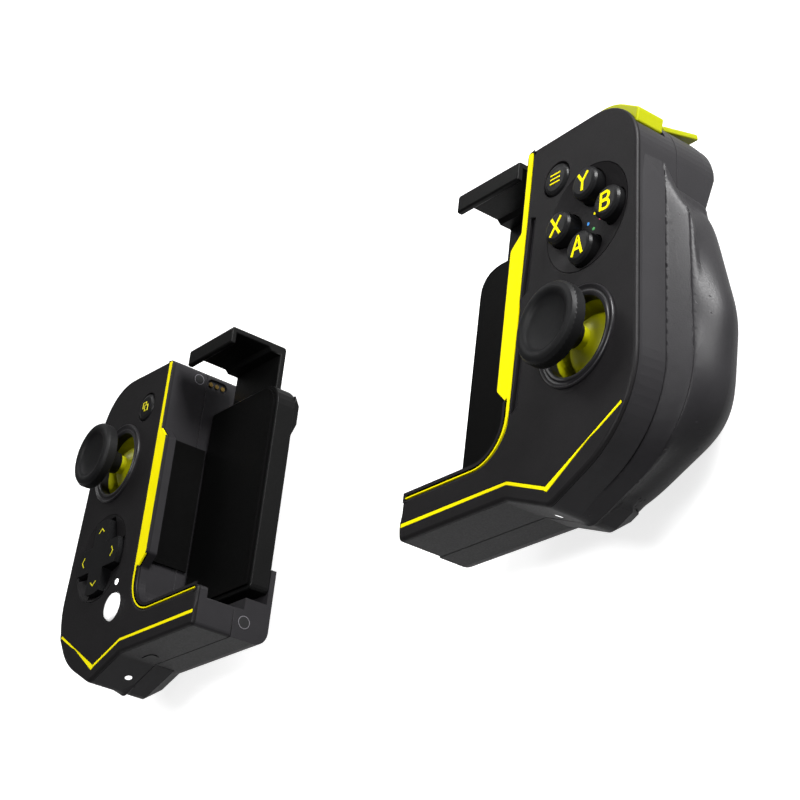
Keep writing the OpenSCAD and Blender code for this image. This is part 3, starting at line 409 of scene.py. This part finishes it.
def facets_of(rows, side):
    """The loft through the rows as flat facets, to tell which faces of a shell are its own."""
    bm = bmesh.new()
    for depth, corners in rows:
        for x, y in rounded(corners):
            bm.verts.new(place(side, (x, y, -depth)))
    made = bmesh.ops.convex_hull(bm, input=bm.verts)
    spare = {*made["geom_interior"], *made["geom_unused"]}
    bmesh.ops.delete(bm, geom=list(spare), context="VERTS")
    tree = BVHTree.FromBMesh(bm)
    bm.free()
    return tree


def depth_of(p):
    """How far a point lies behind the face, in millimetres."""
    return (FACE_Z - p.z) / MM


def own_faces(bm, facets, first, last):
    """The faces of a shell that lie on a run's facets, between its first and last depth."""
    def close(p):
        return facets.find_nearest(p, FACET_NEAR * MM)[0] is not None

    held = {v for v in bm.verts if close(v.co)}
    picked = []
    for f in bm.faces:
        at = f.calc_center_median()
        if (abs(f.normal.z) < LEVEL_NORMAL and held.issuperset(f.verts) and close(at)
                and first + END_MARGIN < depth_of(at) < last - END_MARGIN
                and abs(depth_of(at) - SEAM_DEPTH) > SEAM_MARGIN):
            picked.append(f)
    return picked


def curve_at(reach, turn, step):
    """The smooth curve's reach between the four values round a turn and a depth."""
    i, k = int(turn) % ROW_TURNS, max(0, min(int(step), reach.shape[1] - 2))
    a, b, n = turn - int(turn), step - k, (i + 1) % ROW_TURNS
    return ((reach[i, k] * (1 - a) + reach[n, k] * a) * (1 - b)
            + (reach[i, k + 1] * (1 - a) + reach[n, k + 1] * a) * b)


def curved(bm, run, side):
    """Draws a run's facets out to its smooth curve, and leaves the rest of the shell."""
    facets = facets_of(run["rows"], side)
    first, last = run["rows"][0][0], run["rows"][-1][0]

    def chosen(mesh):
        return own_faces(mesh, facets, first, last)

    split_long(bm, chosen, FACET_SIZE)
    region = set(chosen(bm))
    points = {v for f in region for v in f.verts}
    edge = [v for v in points if not region.issuperset(v.link_faces)]
    beside = [v for v in edge if first + TOP_FREE < depth_of(v.co) < last - BOTTOM_FREE]
    tree = KDTree(len(beside))
    for i, v in enumerate(beside):
        tree.insert(v.co, i)
    tree.balance()
    for v in points.difference(edge):
        x, y = (abs(v.co.x) - WALL_X) / MM - GRIP_X, (v.co.y - DATUM_Y) / MM - GRIP_Y
        turn = math.atan2(y, x) / (2 * math.pi) * ROW_TURNS % ROW_TURNS
        below = depth_of(v.co) - first
        share = min(1, tree.find(v.co)[2] / (run["blend"] * MM), below / run["fade"])
        share = share * share * (3 - 2 * share)
        want = curve_at(run["reach"], turn, below / ROW_STEP)
        scale = 1 + share * (want / math.hypot(x, y) - 1)
        spot = place(side, (GRIP_X + x * scale, GRIP_Y + y * scale, 0))
        v.co.x, v.co.y = spot.x, spot.y


def softened(node, width=0.0, steps=2, turn=40, crease=35, pick=None, curve=None, weigh=True):
    """The CAD node again, with its facets smoothed and its outer edges rounded."""
    bm = bmesh.new()
    bm.from_mesh(NODES[node].data)
    bmesh.ops.remove_doubles(bm, verts=bm.verts, dist=MERGE_NEAR)
    bmesh.ops.dissolve_limit(bm, angle_limit=math.radians(FACE_TURN), verts=bm.verts,
                             edges=bm.edges)
    if width:
        chosen = [e for e in bm.edges if e.is_manifold and e.is_convex
                  and e.calc_face_angle() > math.radians(turn) and (not pick or pick(e))]
        bmesh.ops.bevel(bm, geom=chosen, offset=width * MM, offset_type="OFFSET",
                        segments=steps, profile=0.5, affect="EDGES", clamp_overlap=False,
                        miter_outer="ARC" if steps > 2 else "SHARP")
    if curve:
        curved(bm, curve, node.split("_")[0])
    bmesh.ops.dissolve_degenerate(bm, dist=EDGE_LEAST, edges=bm.edges)
    obj = made_from(bm, node + "_skin", BODY_OF[node], FINISH[SLOT_OF[node]],
                    crease=crease)
    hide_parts(node)
    if weigh:
        weighted = obj.modifiers.new("weighted", "WEIGHTED_NORMAL")
        weighted.keep_sharp = True


def lathe(profile, count, at, ripple=None):
    """A closed solid turned about z through `at` (row frame) from a profile of (radius, height)
    in millimetres that begins and ends on the axis."""
    bm = bmesh.new()
    rings = []
    for k, (r, z) in enumerate(profile):
        if r < 1e-6:
            rings.append([bm.verts.new(at + Vector((0, 0, z * MM)))])
            continue
        ring = []
        for i in range(count):
            a = 2 * math.pi * i / count
            rr = r + (ripple(k, i) if ripple else 0)
            ring.append(bm.verts.new(at + Vector((rr * math.cos(a), rr * math.sin(a), z)) * MM))
        rings.append(ring)
    for low, high in zip(rings, rings[1:]):
        for i in range(count):
            j = (i + 1) % count
            if len(low) == 1:
                bm.faces.new((low[0], high[i], high[j]))
            elif len(high) == 1:
                bm.faces.new((low[i], low[j], high[0]))
            else:
                bm.faces.new((low[i], low[j], high[j], high[i]))
    return bm


def lathe_ring(profile, count, at):
    """A closed ring turned about z through `at` from a closed profile of (radius, height)."""
    bm = bmesh.new()
    rings = []
    for r, z in profile:
        rings.append([bm.verts.new(at + Vector((r * math.cos(2 * math.pi * i / count),
                                                r * math.sin(2 * math.pi * i / count), z)) * MM)
                      for i in range(count)])
    for low, high in zip(rings, rings[1:] + rings[:1]):
        for i in range(count):
            j = (i + 1) % count
            bm.faces.new((low[i], low[j], high[j], high[i]))
    return bm


# A mitred corner of a stroke, and of an outline that is moved inwards, is cut off where it
# would run out further than one over this
STROKE_MITRE, INSET_MITRE = 0.35, 0.4


def ribbon(points, width, closed=False):
    """Left and right edges of a stroke along a line of points, with mitred corners."""
    n = len(points)
    left, right = [], []
    for i, p in enumerate(points):
        before = points[i - 1] if closed or i else None
        after = points[(i + 1) % n] if closed or i < n - 1 else None
        ways = [w for w in ((p - before).normalized() if before is not None else None,
                            (after - p).normalized() if after is not None else None) if w]
        way = (ways[0] + ways[-1]).normalized()
        across = Vector((-way.y, way.x))
        reach = width / 2 / max(STROKE_MITRE, across.dot(Vector((-ways[0].y, ways[0].x))))
        left.append(p + across * reach)
        right.append(p - across * reach)
    return left, right


def stroke_into(bm, points, width, low, high, to_world, closed=False):
    """Adds one raised stroke to bm. to_world(x, y, z) takes millimetres to the row frame."""
    left, right = ribbon([Vector(p) for p in points], width, closed)
    rows = [[bm.verts.new(to_world(p.x, p.y, z)) for p in (a, b) for z in (low, high)]
            for a, b in zip(left, right)]
    pairs = list(zip(rows, rows[1:] + rows[:1])) if closed else list(zip(rows, rows[1:]))
    for a, b in pairs:
        bm.faces.new((a[1], b[1], b[3], a[3]))
        bm.faces.new((a[0], a[2], b[2], b[0]))
        bm.faces.new((a[0], b[0], b[1], a[1]))
        bm.faces.new((a[2], a[3], b[3], b[2]))
    if not closed:
        for end in (rows[0], rows[-1]):
            bm.faces.new((end[0], end[1], end[3], end[2]))


def arc(cx, cy, rx, ry, start, end, count):
    """Points along a stretch of an ellipse, between two turns in degrees."""
    return [(cx + rx * math.cos(math.radians(start + (end - start) * i / count)),
             cy + ry * math.sin(math.radians(start + (end - start) * i / count)))
            for i in range(count + 1)]


def disc_into(bm, cx, cy, r, low, high, to_world, count=24):
    """Adds one flat disc to bm."""
    ring = arc(cx, cy, r, r, 0, 360, count)[:-1]
    rows = [[bm.verts.new(to_world(x, y, z)) for x, y in ring] for z in (low, high)]
    bm.faces.new(rows[1])
    bm.faces.new(rows[0][::-1])
    for i in range(count):
        j = (i + 1) % count
        bm.faces.new((rows[0][i], rows[0][j], rows[1][j], rows[1][i]))


def upright(at):
    """Millimetres about a point of the row frame, seen from the front."""
    return lambda x, y, z: at + Vector((x, y, z)) * MM


# How near to a height a face lies that is at it, in metres, and the least turn of an
# outline, as a sine, that makes a corner
HEIGHT_NEAR, BEND_LEAST = 1e-5, 0.002


def length_round(line):
    """Length of a closed outline."""
    return sum((a - b).length for a, b in zip(line, line[1:] + line[:1]))


def face_loops(node, height):
    """Outlines of a node's level faces at a height, the longest first, each a list of (x, y)
    with the material on its left as seen from above."""
    bm = bmesh.new()
    bm.from_mesh(NODES[node].data)
    bmesh.ops.remove_doubles(bm, verts=bm.verts, dist=MERGE_NEAR)
    flat = [f for f in bm.faces if f.normal.z > LEVEL_NORMAL
            and abs(f.calc_center_median().z - height) < HEIGHT_NEAR]
    level = set(flat)
    follow = {}
    for f in flat:
        for corner in f.loops:
            if sum(g in level for g in corner.edge.link_faces) == 1:
                follow[corner.vert] = corner.link_loop_next.vert
    loops = []
    while follow:
        start, at = next(iter(follow.items()))
        line = [start]
        del follow[start]
        while at is not start and at in follow:
            line.append(at)
            at = follow.pop(at)
        loops.append([Vector((v.co.x, v.co.y)) for v in line])
    bm.free()
    clean = []
    for line in loops:
        n = len(line)
        kept = [line[i] for i in range(n)
                if abs((line[i] - line[i - 1]).normalized().cross(
                    (line[(i + 1) % n] - line[i]).normalized())) > BEND_LEAST]
        clean.append(kept)
    return sorted(clean, key=length_round, reverse=True)


def inset_loop(line, depths):
    """The outline moved towards its material, by a depth of its own at each point."""
    n, moved = len(line), []
    for i, p in enumerate(line):
        a = (p - line[i - 1]).normalized()
        b = (line[(i + 1) % n] - p).normalized()
        side_a, side_b = Vector((-a.y, a.x)), Vector((-b.y, b.x))
        moved.append(p + (side_a + side_b) / max(INSET_MITRE, 1 + side_a.dot(side_b)) * depths[i])
    return moved


def nearest(p, others):
    """Distance from a point to the closest segment of other outlines."""
    best = 1.0
    for line in others:
        for a, b in zip(line, line[1:] + line[:1]):
            t = max(0, min(1, (p - a).dot(b - a) / max((b - a).length_squared, 1e-12)))
            best = min(best, (p - a - (b - a) * t).length)
    return best


def divided(line, step):
    """The outline with its long straight runs split, so that a width can change along them."""
    points = []
    for a, b in zip(line, line[1:] + line[:1]):
        parts = max(1, math.ceil((b - a).length / step))
        points += [a.lerp(b, k / parts) for k in range(parts)]
    return points


def fill_level(bm, rings):
    """Closes the level region between an outline and its holes with triangles."""
    flat = [v for ring in rings for v in ring]
    spots = [Vector((v.co.x, v.co.y)) / MM for v in flat]
    edges, first = [], 0
    for ring in rings:
        edges += [(first + i, first + (i + 1) % len(ring)) for i in range(len(ring))]
        first += len(ring)
    ends = np.array([(*spots[a], *spots[b]) for a, b in edges])
    _, _, faces, origin, _, _ = geometry.delaunay_2d_cdt(spots, edges, [], 0, 1e-6)
    for face in faces:
        own = [origin[i][0] for i in face if origin[i]]
        x, y = sum((spots[i] for i in own), Vector((0, 0))) / 3
        crossing = (ends[:, 1] > y) != (ends[:, 3] > y)
        at = ends[crossing]
        reach = at[:, 0] + (y - at[:, 1]) * (at[:, 2] - at[:, 0]) / (at[:, 3] - at[:, 1])
        if len(own) == 3 and np.count_nonzero(reach > x) % 2:
            bm.faces.new([flat[i] for i in own])


# The longest run of a plate's outline between two points, and the most of the way to the
# next outline that a rounding takes
PLATE_STEP, POCKET_SHARE = 1.2, 0.38


def rounded_plate(node, name, edge, hole_edge, groove, steps=4):
    """A level plate again, with a rounded front edge, softly broken holes and a fine groove
    behind its outline. The rounding narrows where a pocket comes near."""
    low, high = (v.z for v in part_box(node))
    lines = [divided(line, PLATE_STEP * MM) for line in face_loops(node, high)]
    bm = bmesh.new()
    tops, bottoms = [], []
    for k, line in enumerate(lines):
        others = lines[:k] + lines[k + 1:]
        size = edge if k == 0 else hole_edge
        radius = [min(size * MM, POCKET_SHARE * nearest(p, others)) for p in line]
        rows = []
        for i in range(steps + 1):
            a = math.pi / 2 * i / steps
            ring = inset_loop(line, [q * (1 - math.sin(a)) for q in radius])
            rows.append([bm.verts.new((p.x, p.y, high - q * (1 - math.cos(a))))
                         for p, q in zip(ring, radius)])
        behind = line
        if k == 0:
            rows.append([bm.verts.new((p.x, p.y, low + groove * MM)) for p in line])
            behind = inset_loop(line, [groove * MM] * len(line))
        rows.append([bm.verts.new((p.x, p.y, low)) for p in behind])
        for upper, lower in zip(rows, rows[1:]):
            for i in range(len(line)):
                j = (i + 1) % len(line)
                bm.faces.new((upper[i], lower[i], lower[j], upper[j]))
        tops.append(rows[0])
        bottoms.append(rows[-1])
    fill_level(bm, tops)
    fill_level(bm, bottoms)
    obj = made_from(bm, name, BODY_OF[node], FINISH[SLOT_OF[node]], crease=50)
    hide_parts(node)


# Housing

def at_seam(edge):
    """The rim where the two shells meet, whose broken edges leave a fine groove."""
    return all(abs(v.co.z - FACE_Z + SEAM_DEPTH * MM) < 1e-6 for v in edge.verts)


for side in SIDES:
    rounded_plate(f"{side}_face_plate", f"{side}_face", edge=0.8, hole_edge=0.18, groove=0.16)
    softened(f"{side}_front_shell", 0.16, steps=1, turn=30, crease=24, pick=at_seam,
             curve=FLARE)
    softened(f"{side}_rear_shell", 0.16, steps=1, turn=30, crease=35, pick=at_seam,
             curve=GRIP, weigh=False)
    softened(f"{side}_bumper", 0.4, steps=3, turn=50)
    softened(f"{side}_trigger", 0.3, steps=2, turn=60)
    softened(f"{side}_clamp_jaw", 0.35, steps=2, turn=60)
    softened(f"{side}_back_panel", 0.3, steps=2, turn=60)


# Springs

# Steps round each turn of a coil, and sides of its wire
COIL_STEPS, WIRE_SIDES = 16, 8


def coil_spring(node, wire, turns):
    """A wound spring along y, in the space of the plain tube that stands for it."""
    low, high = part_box(node)
    middle = (low + high) / 2
    radius = (high.x - low.x) / 2 - wire * MM
    length = high.y - low.y - 2 * wire * MM
    section = [2 * math.pi * k / WIRE_SIDES for k in range(WIRE_SIDES)]
    bm = bmesh.new()
    rows = []
    for i in range(turns * COIL_STEPS + 1):
        a = 2 * math.pi * i / COIL_STEPS
        out = Vector((math.cos(a), 0, math.sin(a)))
        at = middle + out * radius
        at.y = low.y + wire * MM + length * i / (turns * COIL_STEPS)
        rows.append([bm.verts.new(at + (out * math.cos(b) + Vector((0, math.sin(b), 0)))
                                  * wire * MM) for b in section])
    for a, b in zip(rows, rows[1:]):
        for k in range(WIRE_SIDES):
            m = (k + 1) % WIRE_SIDES
            bm.faces.new((a[k], a[m], b[m], b[k]))
    bm.faces.new(rows[0])
    bm.faces.new(rows[-1][::-1])
    obj = made_from(bm, f"{node}_coil", BODY_OF[node], FINISH["steel"])
    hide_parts(node)
    return obj


for side in SIDES:
    coil_spring(f"{side}_trigger_spring", wire=0.25, turns=6)
    node = f"{side}_jaw_spring"
    spring = coil_spring(node, wire=0.2, turns=22)
    low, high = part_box(node)
    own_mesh(spring)


# Thumbsticks

# The cap's section as (radius, height over the face): its stem and underside, then its top
CAP_UNDER = [(0, -11.3), (1.5, -11.3), (1.5, 0.35), (3, 0.35), (3.4, 2.3), (4.4, 4.2),
             (6.4, 5.2), (8.3, 5.4), (9.0, 5.7)]
CAP_TOP = [(9.35, 8.55), (9.25, 8.75), (9.0, 9.1), (8.5, 9.33), (7.9, 9.4), (7.3, 9.34),
           (6.85, 9.1), (6.55, 8.75), (6.3, 8.5), (5.8, 8.3), (4.6, 8.08), (3.2, 7.95),
           (1.6, 7.9), (0, 7.9)]
# The knurled band between them
KNURL_R, KNURL_LOW, KNURL_HIGH = 9.5, 5.95, 8.25
KNURL_ROWS, KNURL_COUNT, KNURL_DEPTH = 8, 104, 0.3
# The first row of the band stands out less
KNURL_START = 0.3


def stick_cap(side):
    """The cap with its stem, dished top and knurled band."""
    node = f"{side}_stick_cap"
    low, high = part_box(node)
    axis = Vector(((low.x + high.x) / 2, (low.y + high.y) / 2, FACE_Z))
    band = [(KNURL_R, KNURL_LOW + (KNURL_HIGH - KNURL_LOW) * i / (KNURL_ROWS - 1))
            for i in range(KNURL_ROWS)]

    def ripple(k, i):
        row = k - len(CAP_UNDER)
        if 0 <= row < KNURL_ROWS:
            return KNURL_DEPTH * ((row + i) % 2 - 0.5) * (1 if row else KNURL_START)
        return 0

    bm = lathe(CAP_UNDER + band + CAP_TOP, KNURL_COUNT, axis, ripple)
    obj = made_from(bm, f"{side}_stick_grip", BODY_OF[node], FINISH["stick_rubber"],
                    crease=28)
    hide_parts(node)


for side in SIDES:
    stick_cap(side)


# The two magnets, one in the arm's end and one in the end wall: place and rim's radius
MAGNETS = (((-34.7, -5.75, -15.5), 1.68), ((0, 74.4, -9.4), 1.48))
# The rim's width, how proud of the face it is, and how far it goes in
RIM_WIDTH, RIM_HEIGHT, RIM_FOOT = 0.16, 0.03, 0.1


def ring_about(bm, at, axis, radius, width, height, count=32):
    """Adds a flat ring of square section, proud of a face by its height."""
    away = axis.orthogonal().normalized()
    across = axis.cross(away)
    rows = []
    for i in range(count):
        a = 2 * math.pi * i / count
        way = away * math.cos(a) + across * math.sin(a)
        rows.append([bm.verts.new(at + way * (radius + dr) * MM + axis * dh * MM)
                     for dr, dh in ((-width / 2, -RIM_FOOT), (width / 2, -RIM_FOOT),
                                    (width / 2, height), (-width / 2, height))])
    for a, b in zip(rows, rows[1:] + rows[:1]):
        for k in range(4):
            m = (k + 1) % 4
            bm.faces.new((a[k], a[m], b[m], b[k]))


def magnet_rings(side):
    """Thin bright edges of the two magnets."""
    dress(NODES[f"{side}_magnets"], PRINT["magnet"])
    bm = bmesh.new()
    inward = Vector((-SIDES[side], 0, 0))
    for spot, radius in MAGNETS:
        ring_about(bm, place(side, spot), inward, radius, RIM_WIDTH, RIM_HEIGHT)
    made_from(bm, f"{side}_magnet_rings", BODY_OF[f"{side}_magnets"], PRINT["edge"],
              smooth=False)


for side in SIDES:
    magnet_rings(side)


# The section of the ring round a stick: a raised rim, a dished band and an inner band
RING = [(9.3, -2.4), (10.3, -2.4), (10.3, 0), (11.95, 0), (11.95, 0.45), (11.88, 0.62),
        (11.7, 0.72), (11.5, 0.66), (11.3, 0.45), (11.0, 0.3), (10.6, 0.26), (10.45, 0.3),
        (10.35, 0.5), (10.2, 0.62), (9.75, 0.6), (9.45, 0.42), (9.32, 0.15), (9.3, -0.1)]
RING_COUNT = 96


def ring_skin(side):
    """The ring round a stick, with its raised rims."""
    node = f"{side}_stick_ring"
    axis = centre(node)
    axis.z = FACE_Z
    bm = lathe_ring(RING, RING_COUNT, axis)
    obj = made_from(bm, f"{side}_ring_trim", BODY_OF[node], FINISH["stick_ring"],
                    crease=40)
    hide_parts(node)


for side in SIDES:
    ring_skin(side)


# Symbols

# Height and width of a letter, and width of its strokes
LETTER_H, LETTER_W, LETTER_T = 4.5, 3.2, 0.66
# The print lies from a little under a surface to a hair over it. Each further stroke of a
# letter is higher by a step, so that no two strokes share a face.
INK_FOOT, INK, INK_STEP = -0.2, 0.05, 0.01
# The menu's three bars: half their length, their spacing and their width
MENU_HALF, MENU_STEP, MENU_T = 1.6, 1.1, 0.32
# The view key's two squares, one behind the other, and an arrowhead of the cross
VIEW_T, ARROW_T = 0.26, 0.32
FRONT_BOX = [(-0.35, -1.35), (1.35, -1.35), (1.35, 0.35), (-0.35, 0.35)]
BEHIND = [(-0.45, -0.35), (-1.35, -0.35), (-1.35, 1.35), (0.35, 1.35), (0.35, 0.45)]
ARROW = [(7.5, -1.5), (8.7, 0), (7.5, 1.5)]
# The dots in the dish between the keys: how far from its middle, radius, foot and top
DOT_OUT, DOT_R, DOT_FOOT, DOT_TOP = 2.0, 0.42, -2.5, -2.22


def letter_strokes(letter):
    """Strokes of one of the four letters, about its middle."""
    h, w = LETTER_H / 2, LETTER_W / 2
    if letter == "A":
        return [[(-w, -h), (-0.05, h), (0.05, h), (w, -h)], [(-w * 0.62, -h * 0.3),
                                                             (w * 0.62, -h * 0.3)]]
    if letter == "B":
        up, down = h * 0.5, -h * 0.5
        return [[(-w * 0.8, -h), (-w * 0.8, h)],
                [(-w * 0.8, h - 0.3)] + arc(w * 0.15, up + 0.05, w * 0.55, h * 0.42, 90, -90, 8)
                + [(-w * 0.8, 0.1)],
                [(-w * 0.8, 0.0)] + arc(w * 0.2, down + 0.1, w * 0.65, h * 0.46, 90, -90, 8)
                + [(-w * 0.8, -h + 0.3)]]
    if letter == "X":
        return [[(-w, -h), (w, h)], [(-w, h), (w, -h)]]
    return [[(-w, h), (0, 0.1), (w, h)], [(0, 0.2), (0, -h)]]


for letter in "ABXY":
    node = f"{letter.lower()}_button"
    low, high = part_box(node)
    spot = Vector(((low.x + high.x) / 2, (low.y + high.y) / 2, high.z))
    bm = bmesh.new()
    for i, line in enumerate(letter_strokes(letter)):
        stroke_into(bm, line, LETTER_T, INK_FOOT, INK + INK_STEP * i, upright(spot))
    made_from(bm, f"{letter.lower()}_glyph", BODY_OF[node], PRINT["yellow"], smooth=False)

spot = centre("menu_button")
spot.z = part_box("menu_button")[1].z
bm = bmesh.new()
for y in (-MENU_STEP, 0, MENU_STEP):
    stroke_into(bm, [(-MENU_HALF, y), (MENU_HALF, y)], MENU_T, INK_FOOT, INK, upright(spot))
made_from(bm, "menu_glyph", BODY_OF["menu_button"], PRINT["yellow"], smooth=False)

spot = centre("view_button")
spot.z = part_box("view_button")[1].z
bm = bmesh.new()
stroke_into(bm, FRONT_BOX, VIEW_T, INK_FOOT, INK, upright(spot), closed=True)
stroke_into(bm, BEHIND, VIEW_T, INK_FOOT, INK, upright(spot))
made_from(bm, "view_glyph", BODY_OF["view_button"], PRINT["line"], smooth=False)

# Arrowheads on the cross
spot = centre("dpad_cross")
spot.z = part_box("dpad_cross")[1].z
bm = bmesh.new()
for turn in range(4):
    a = math.radians(90 * turn)
    line = [(x * math.cos(a) - y * math.sin(a), x * math.sin(a) + y * math.cos(a))
            for x, y in ARROW]
    stroke_into(bm, line, ARROW_T, INK_FOOT, INK, upright(spot))
made_from(bm, "cross_arrows", BODY_OF["dpad_cross"], PRINT["line"], smooth=False)

# Four coloured dots between the keys
dish = centre("button_dish")
spot = Vector((dish.x, dish.y, FACE_Z))
for tint, right, up in (("yellow", 0, 1), ("pink", 1, 0), ("blue", -1, 0), ("green", 0, -1)):
    bm = bmesh.new()
    disc_into(bm, right * DOT_OUT, up * DOT_OUT, DOT_R, DOT_FOOT, DOT_TOP, upright(spot))
    made_from(bm, f"{tint}_dot", BODY_OF["button_dish"], PRINT[tint], smooth=False)


# Camera and light

# The camera that was fitted to the photograph: its place over the row frame's origin, its
# directions, and its focal length and frame in pixels
EYE = Vector((0.415389, -0.189169, 0.289917))
LOOK = Vector((-0.74846, 0.42890, -0.50582))
ACROSS = Vector((0.59839, 0.10798, -0.79389))
DOWN = Vector((-0.28588, -0.89688, -0.33747))
FOCAL_PIXELS, FRAME_PIXELS, SENSOR = 2142.02, 800, 36
camera = bpy.data.objects.new("camera", bpy.data.cameras.new("camera"))
SCENE.collection.objects.link(camera)
pose = Matrix.Identity(4)
for i in range(3):
    pose[i][0], pose[i][1], pose[i][2] = ACROSS[i], -DOWN[i], -LOOK[i]
    pose[i][3] = EYE[i]
pose[1][3] += DATUM_Y
camera.matrix_world = pose
camera.data.sensor_width = SENSOR
camera.data.lens = SENSOR * FOCAL_PIXELS / FRAME_PIXELS
camera.data.clip_start, camera.data.clip_end = 0.01, 10
SCENE.camera = camera


def panel_light(name, at, target, size, power):
    """A white lamp of a size in metres that looks from one point to another."""
    lamp = bpy.data.lights.new(name, "AREA")
    lamp.shape = "RECTANGLE"
    lamp.size, lamp.size_y = size
    lamp.energy = power
    obj = bpy.data.objects.new(name, lamp)
    SCENE.collection.objects.link(obj)
    obj.location = at
    obj.rotation_mode = "QUATERNION"
    obj.rotation_quaternion = (Vector(target) - Vector(at)).to_track_quat("-Z", "Y")


# The lamps: place, the point that each looks at, size and power in watts
LAMPS = {
    "key": ((0.35, -0.05, 0.7), (0.08, 0, 0.02), (0.4, 0.4), 5.6),
    "side": ((0.52, 0.5, 0.14), (0.13, 0.01, 0.02), (0.3, 0.3), 12.5),
    "back": ((-0.5, 0.8, 0.8), (0, 0, 0.02), (0.6, 0.4), 3),
}
for name, lamp in LAMPS.items():
    panel_light(name, *lamp)


def ray_choice(tree, dim, mirror, bright):
    """Mixes three shaders: the bright one is what the camera sees, the second what gloss
    and glass see, and the dim one is what lights the object."""
    node, link = tree.nodes.new, tree.links.new
    path = node("ShaderNodeLightPath")
    either = node("ShaderNodeMath")
    either.operation = "MAXIMUM"
    link(path.outputs["Is Glossy Ray"], either.inputs[0])
    link(path.outputs["Is Transmission Ray"], either.inputs[1])
    chosen = dim
    for factor, other in ((either.outputs[0], mirror), (path.outputs["Is Camera Ray"], bright)):
        mix = node("ShaderNodeMixShader")
        link(factor, mix.inputs[0])
        link(chosen, mix.inputs[1])
        link(other, mix.inputs[2])
        chosen = mix.outputs[0]
    return chosen


# Strength of the backdrop as light, in gloss and before the camera, and its greys in gloss
# from the horizon up
WORLD_LEVELS = (0.24, 1.0, 1.0)
SKY_STOPS = ((0.02, 0.7), (0.2, 0.1), (0.42, 0.05), (0.62, 0.2))
# The floor's colour and glow for the same three
FLOOR_LEVELS = ((0.35, 0.0), (0.35, 0.25), (0.7, 0.75))
FLOOR_HALF, FLOOR_Z = 3, -0.00002

world = bpy.data.worlds.new("studio")
SCENE.world = world
world.use_nodes = True
tree = world.node_tree
tree.nodes.clear()
levels = []
for strength in WORLD_LEVELS:
    backdrop = tree.nodes.new("ShaderNodeBackground")
    backdrop.inputs["Color"].default_value = (1, 1, 1, 1)
    backdrop.inputs["Strength"].default_value = strength
    levels.append(backdrop)
sky = tree.nodes.new("ShaderNodeTexCoord")
parts = tree.nodes.new("ShaderNodeSeparateXYZ")
tree.links.new(sky.outputs["Generated"], parts.inputs[0])
fade = tree.nodes.new("ShaderNodeValToRGB")
while len(fade.color_ramp.elements) < len(SKY_STOPS):
    fade.color_ramp.elements.new(0.5)
for stop, (height, grey) in zip(fade.color_ramp.elements, SKY_STOPS):
    stop.position = height
    stop.color = (grey, grey, grey, 1)
tree.links.new(parts.outputs["Z"], fade.inputs["Fac"])
tree.links.new(fade.outputs["Color"], levels[1].inputs["Color"])
end = tree.nodes.new("ShaderNodeOutputWorld")
tree.links.new(ray_choice(tree, *(b.outputs[0] for b in levels)), end.inputs["Surface"])

# A pale floor under the grips. It shows white, and keeps the shadow.
bm = bmesh.new()
for x, y in ((-1, -1), (1, -1), (1, 1), (-1, 1)):
    bm.verts.new((x * FLOOR_HALF, y * FLOOR_HALF, FLOOR_Z))
bm.faces.new(bm.verts)
mesh = bpy.data.meshes.new("floor")
bm.to_mesh(mesh)
bm.free()
floor = bpy.data.objects.new("floor", mesh)
SCENE.collection.objects.link(floor)
material = bpy.data.materials.new("floor_white")
material.use_nodes = True
tree = material.node_tree
tree.nodes.clear()
levels = []
for grey, shine in FLOOR_LEVELS:
    matt = tree.nodes.new("ShaderNodeBsdfDiffuse")
    matt.inputs["Color"].default_value = (grey, grey, grey, 1)
    glow = tree.nodes.new("ShaderNodeEmission")
    glow.inputs["Color"].default_value = (1, 1, 1, 1)
    glow.inputs["Strength"].default_value = shine
    both = tree.nodes.new("ShaderNodeAddShader")
    tree.links.new(matt.outputs[0], both.inputs[0])
    tree.links.new(glow.outputs[0], both.inputs[1])
    levels.append(both.outputs[0])
end = tree.nodes.new("ShaderNodeOutputMaterial")
tree.links.new(ray_choice(tree, *levels), end.inputs["Surface"])
mesh.materials.append(material)

SCENE.view_settings.view_transform = "Standard"
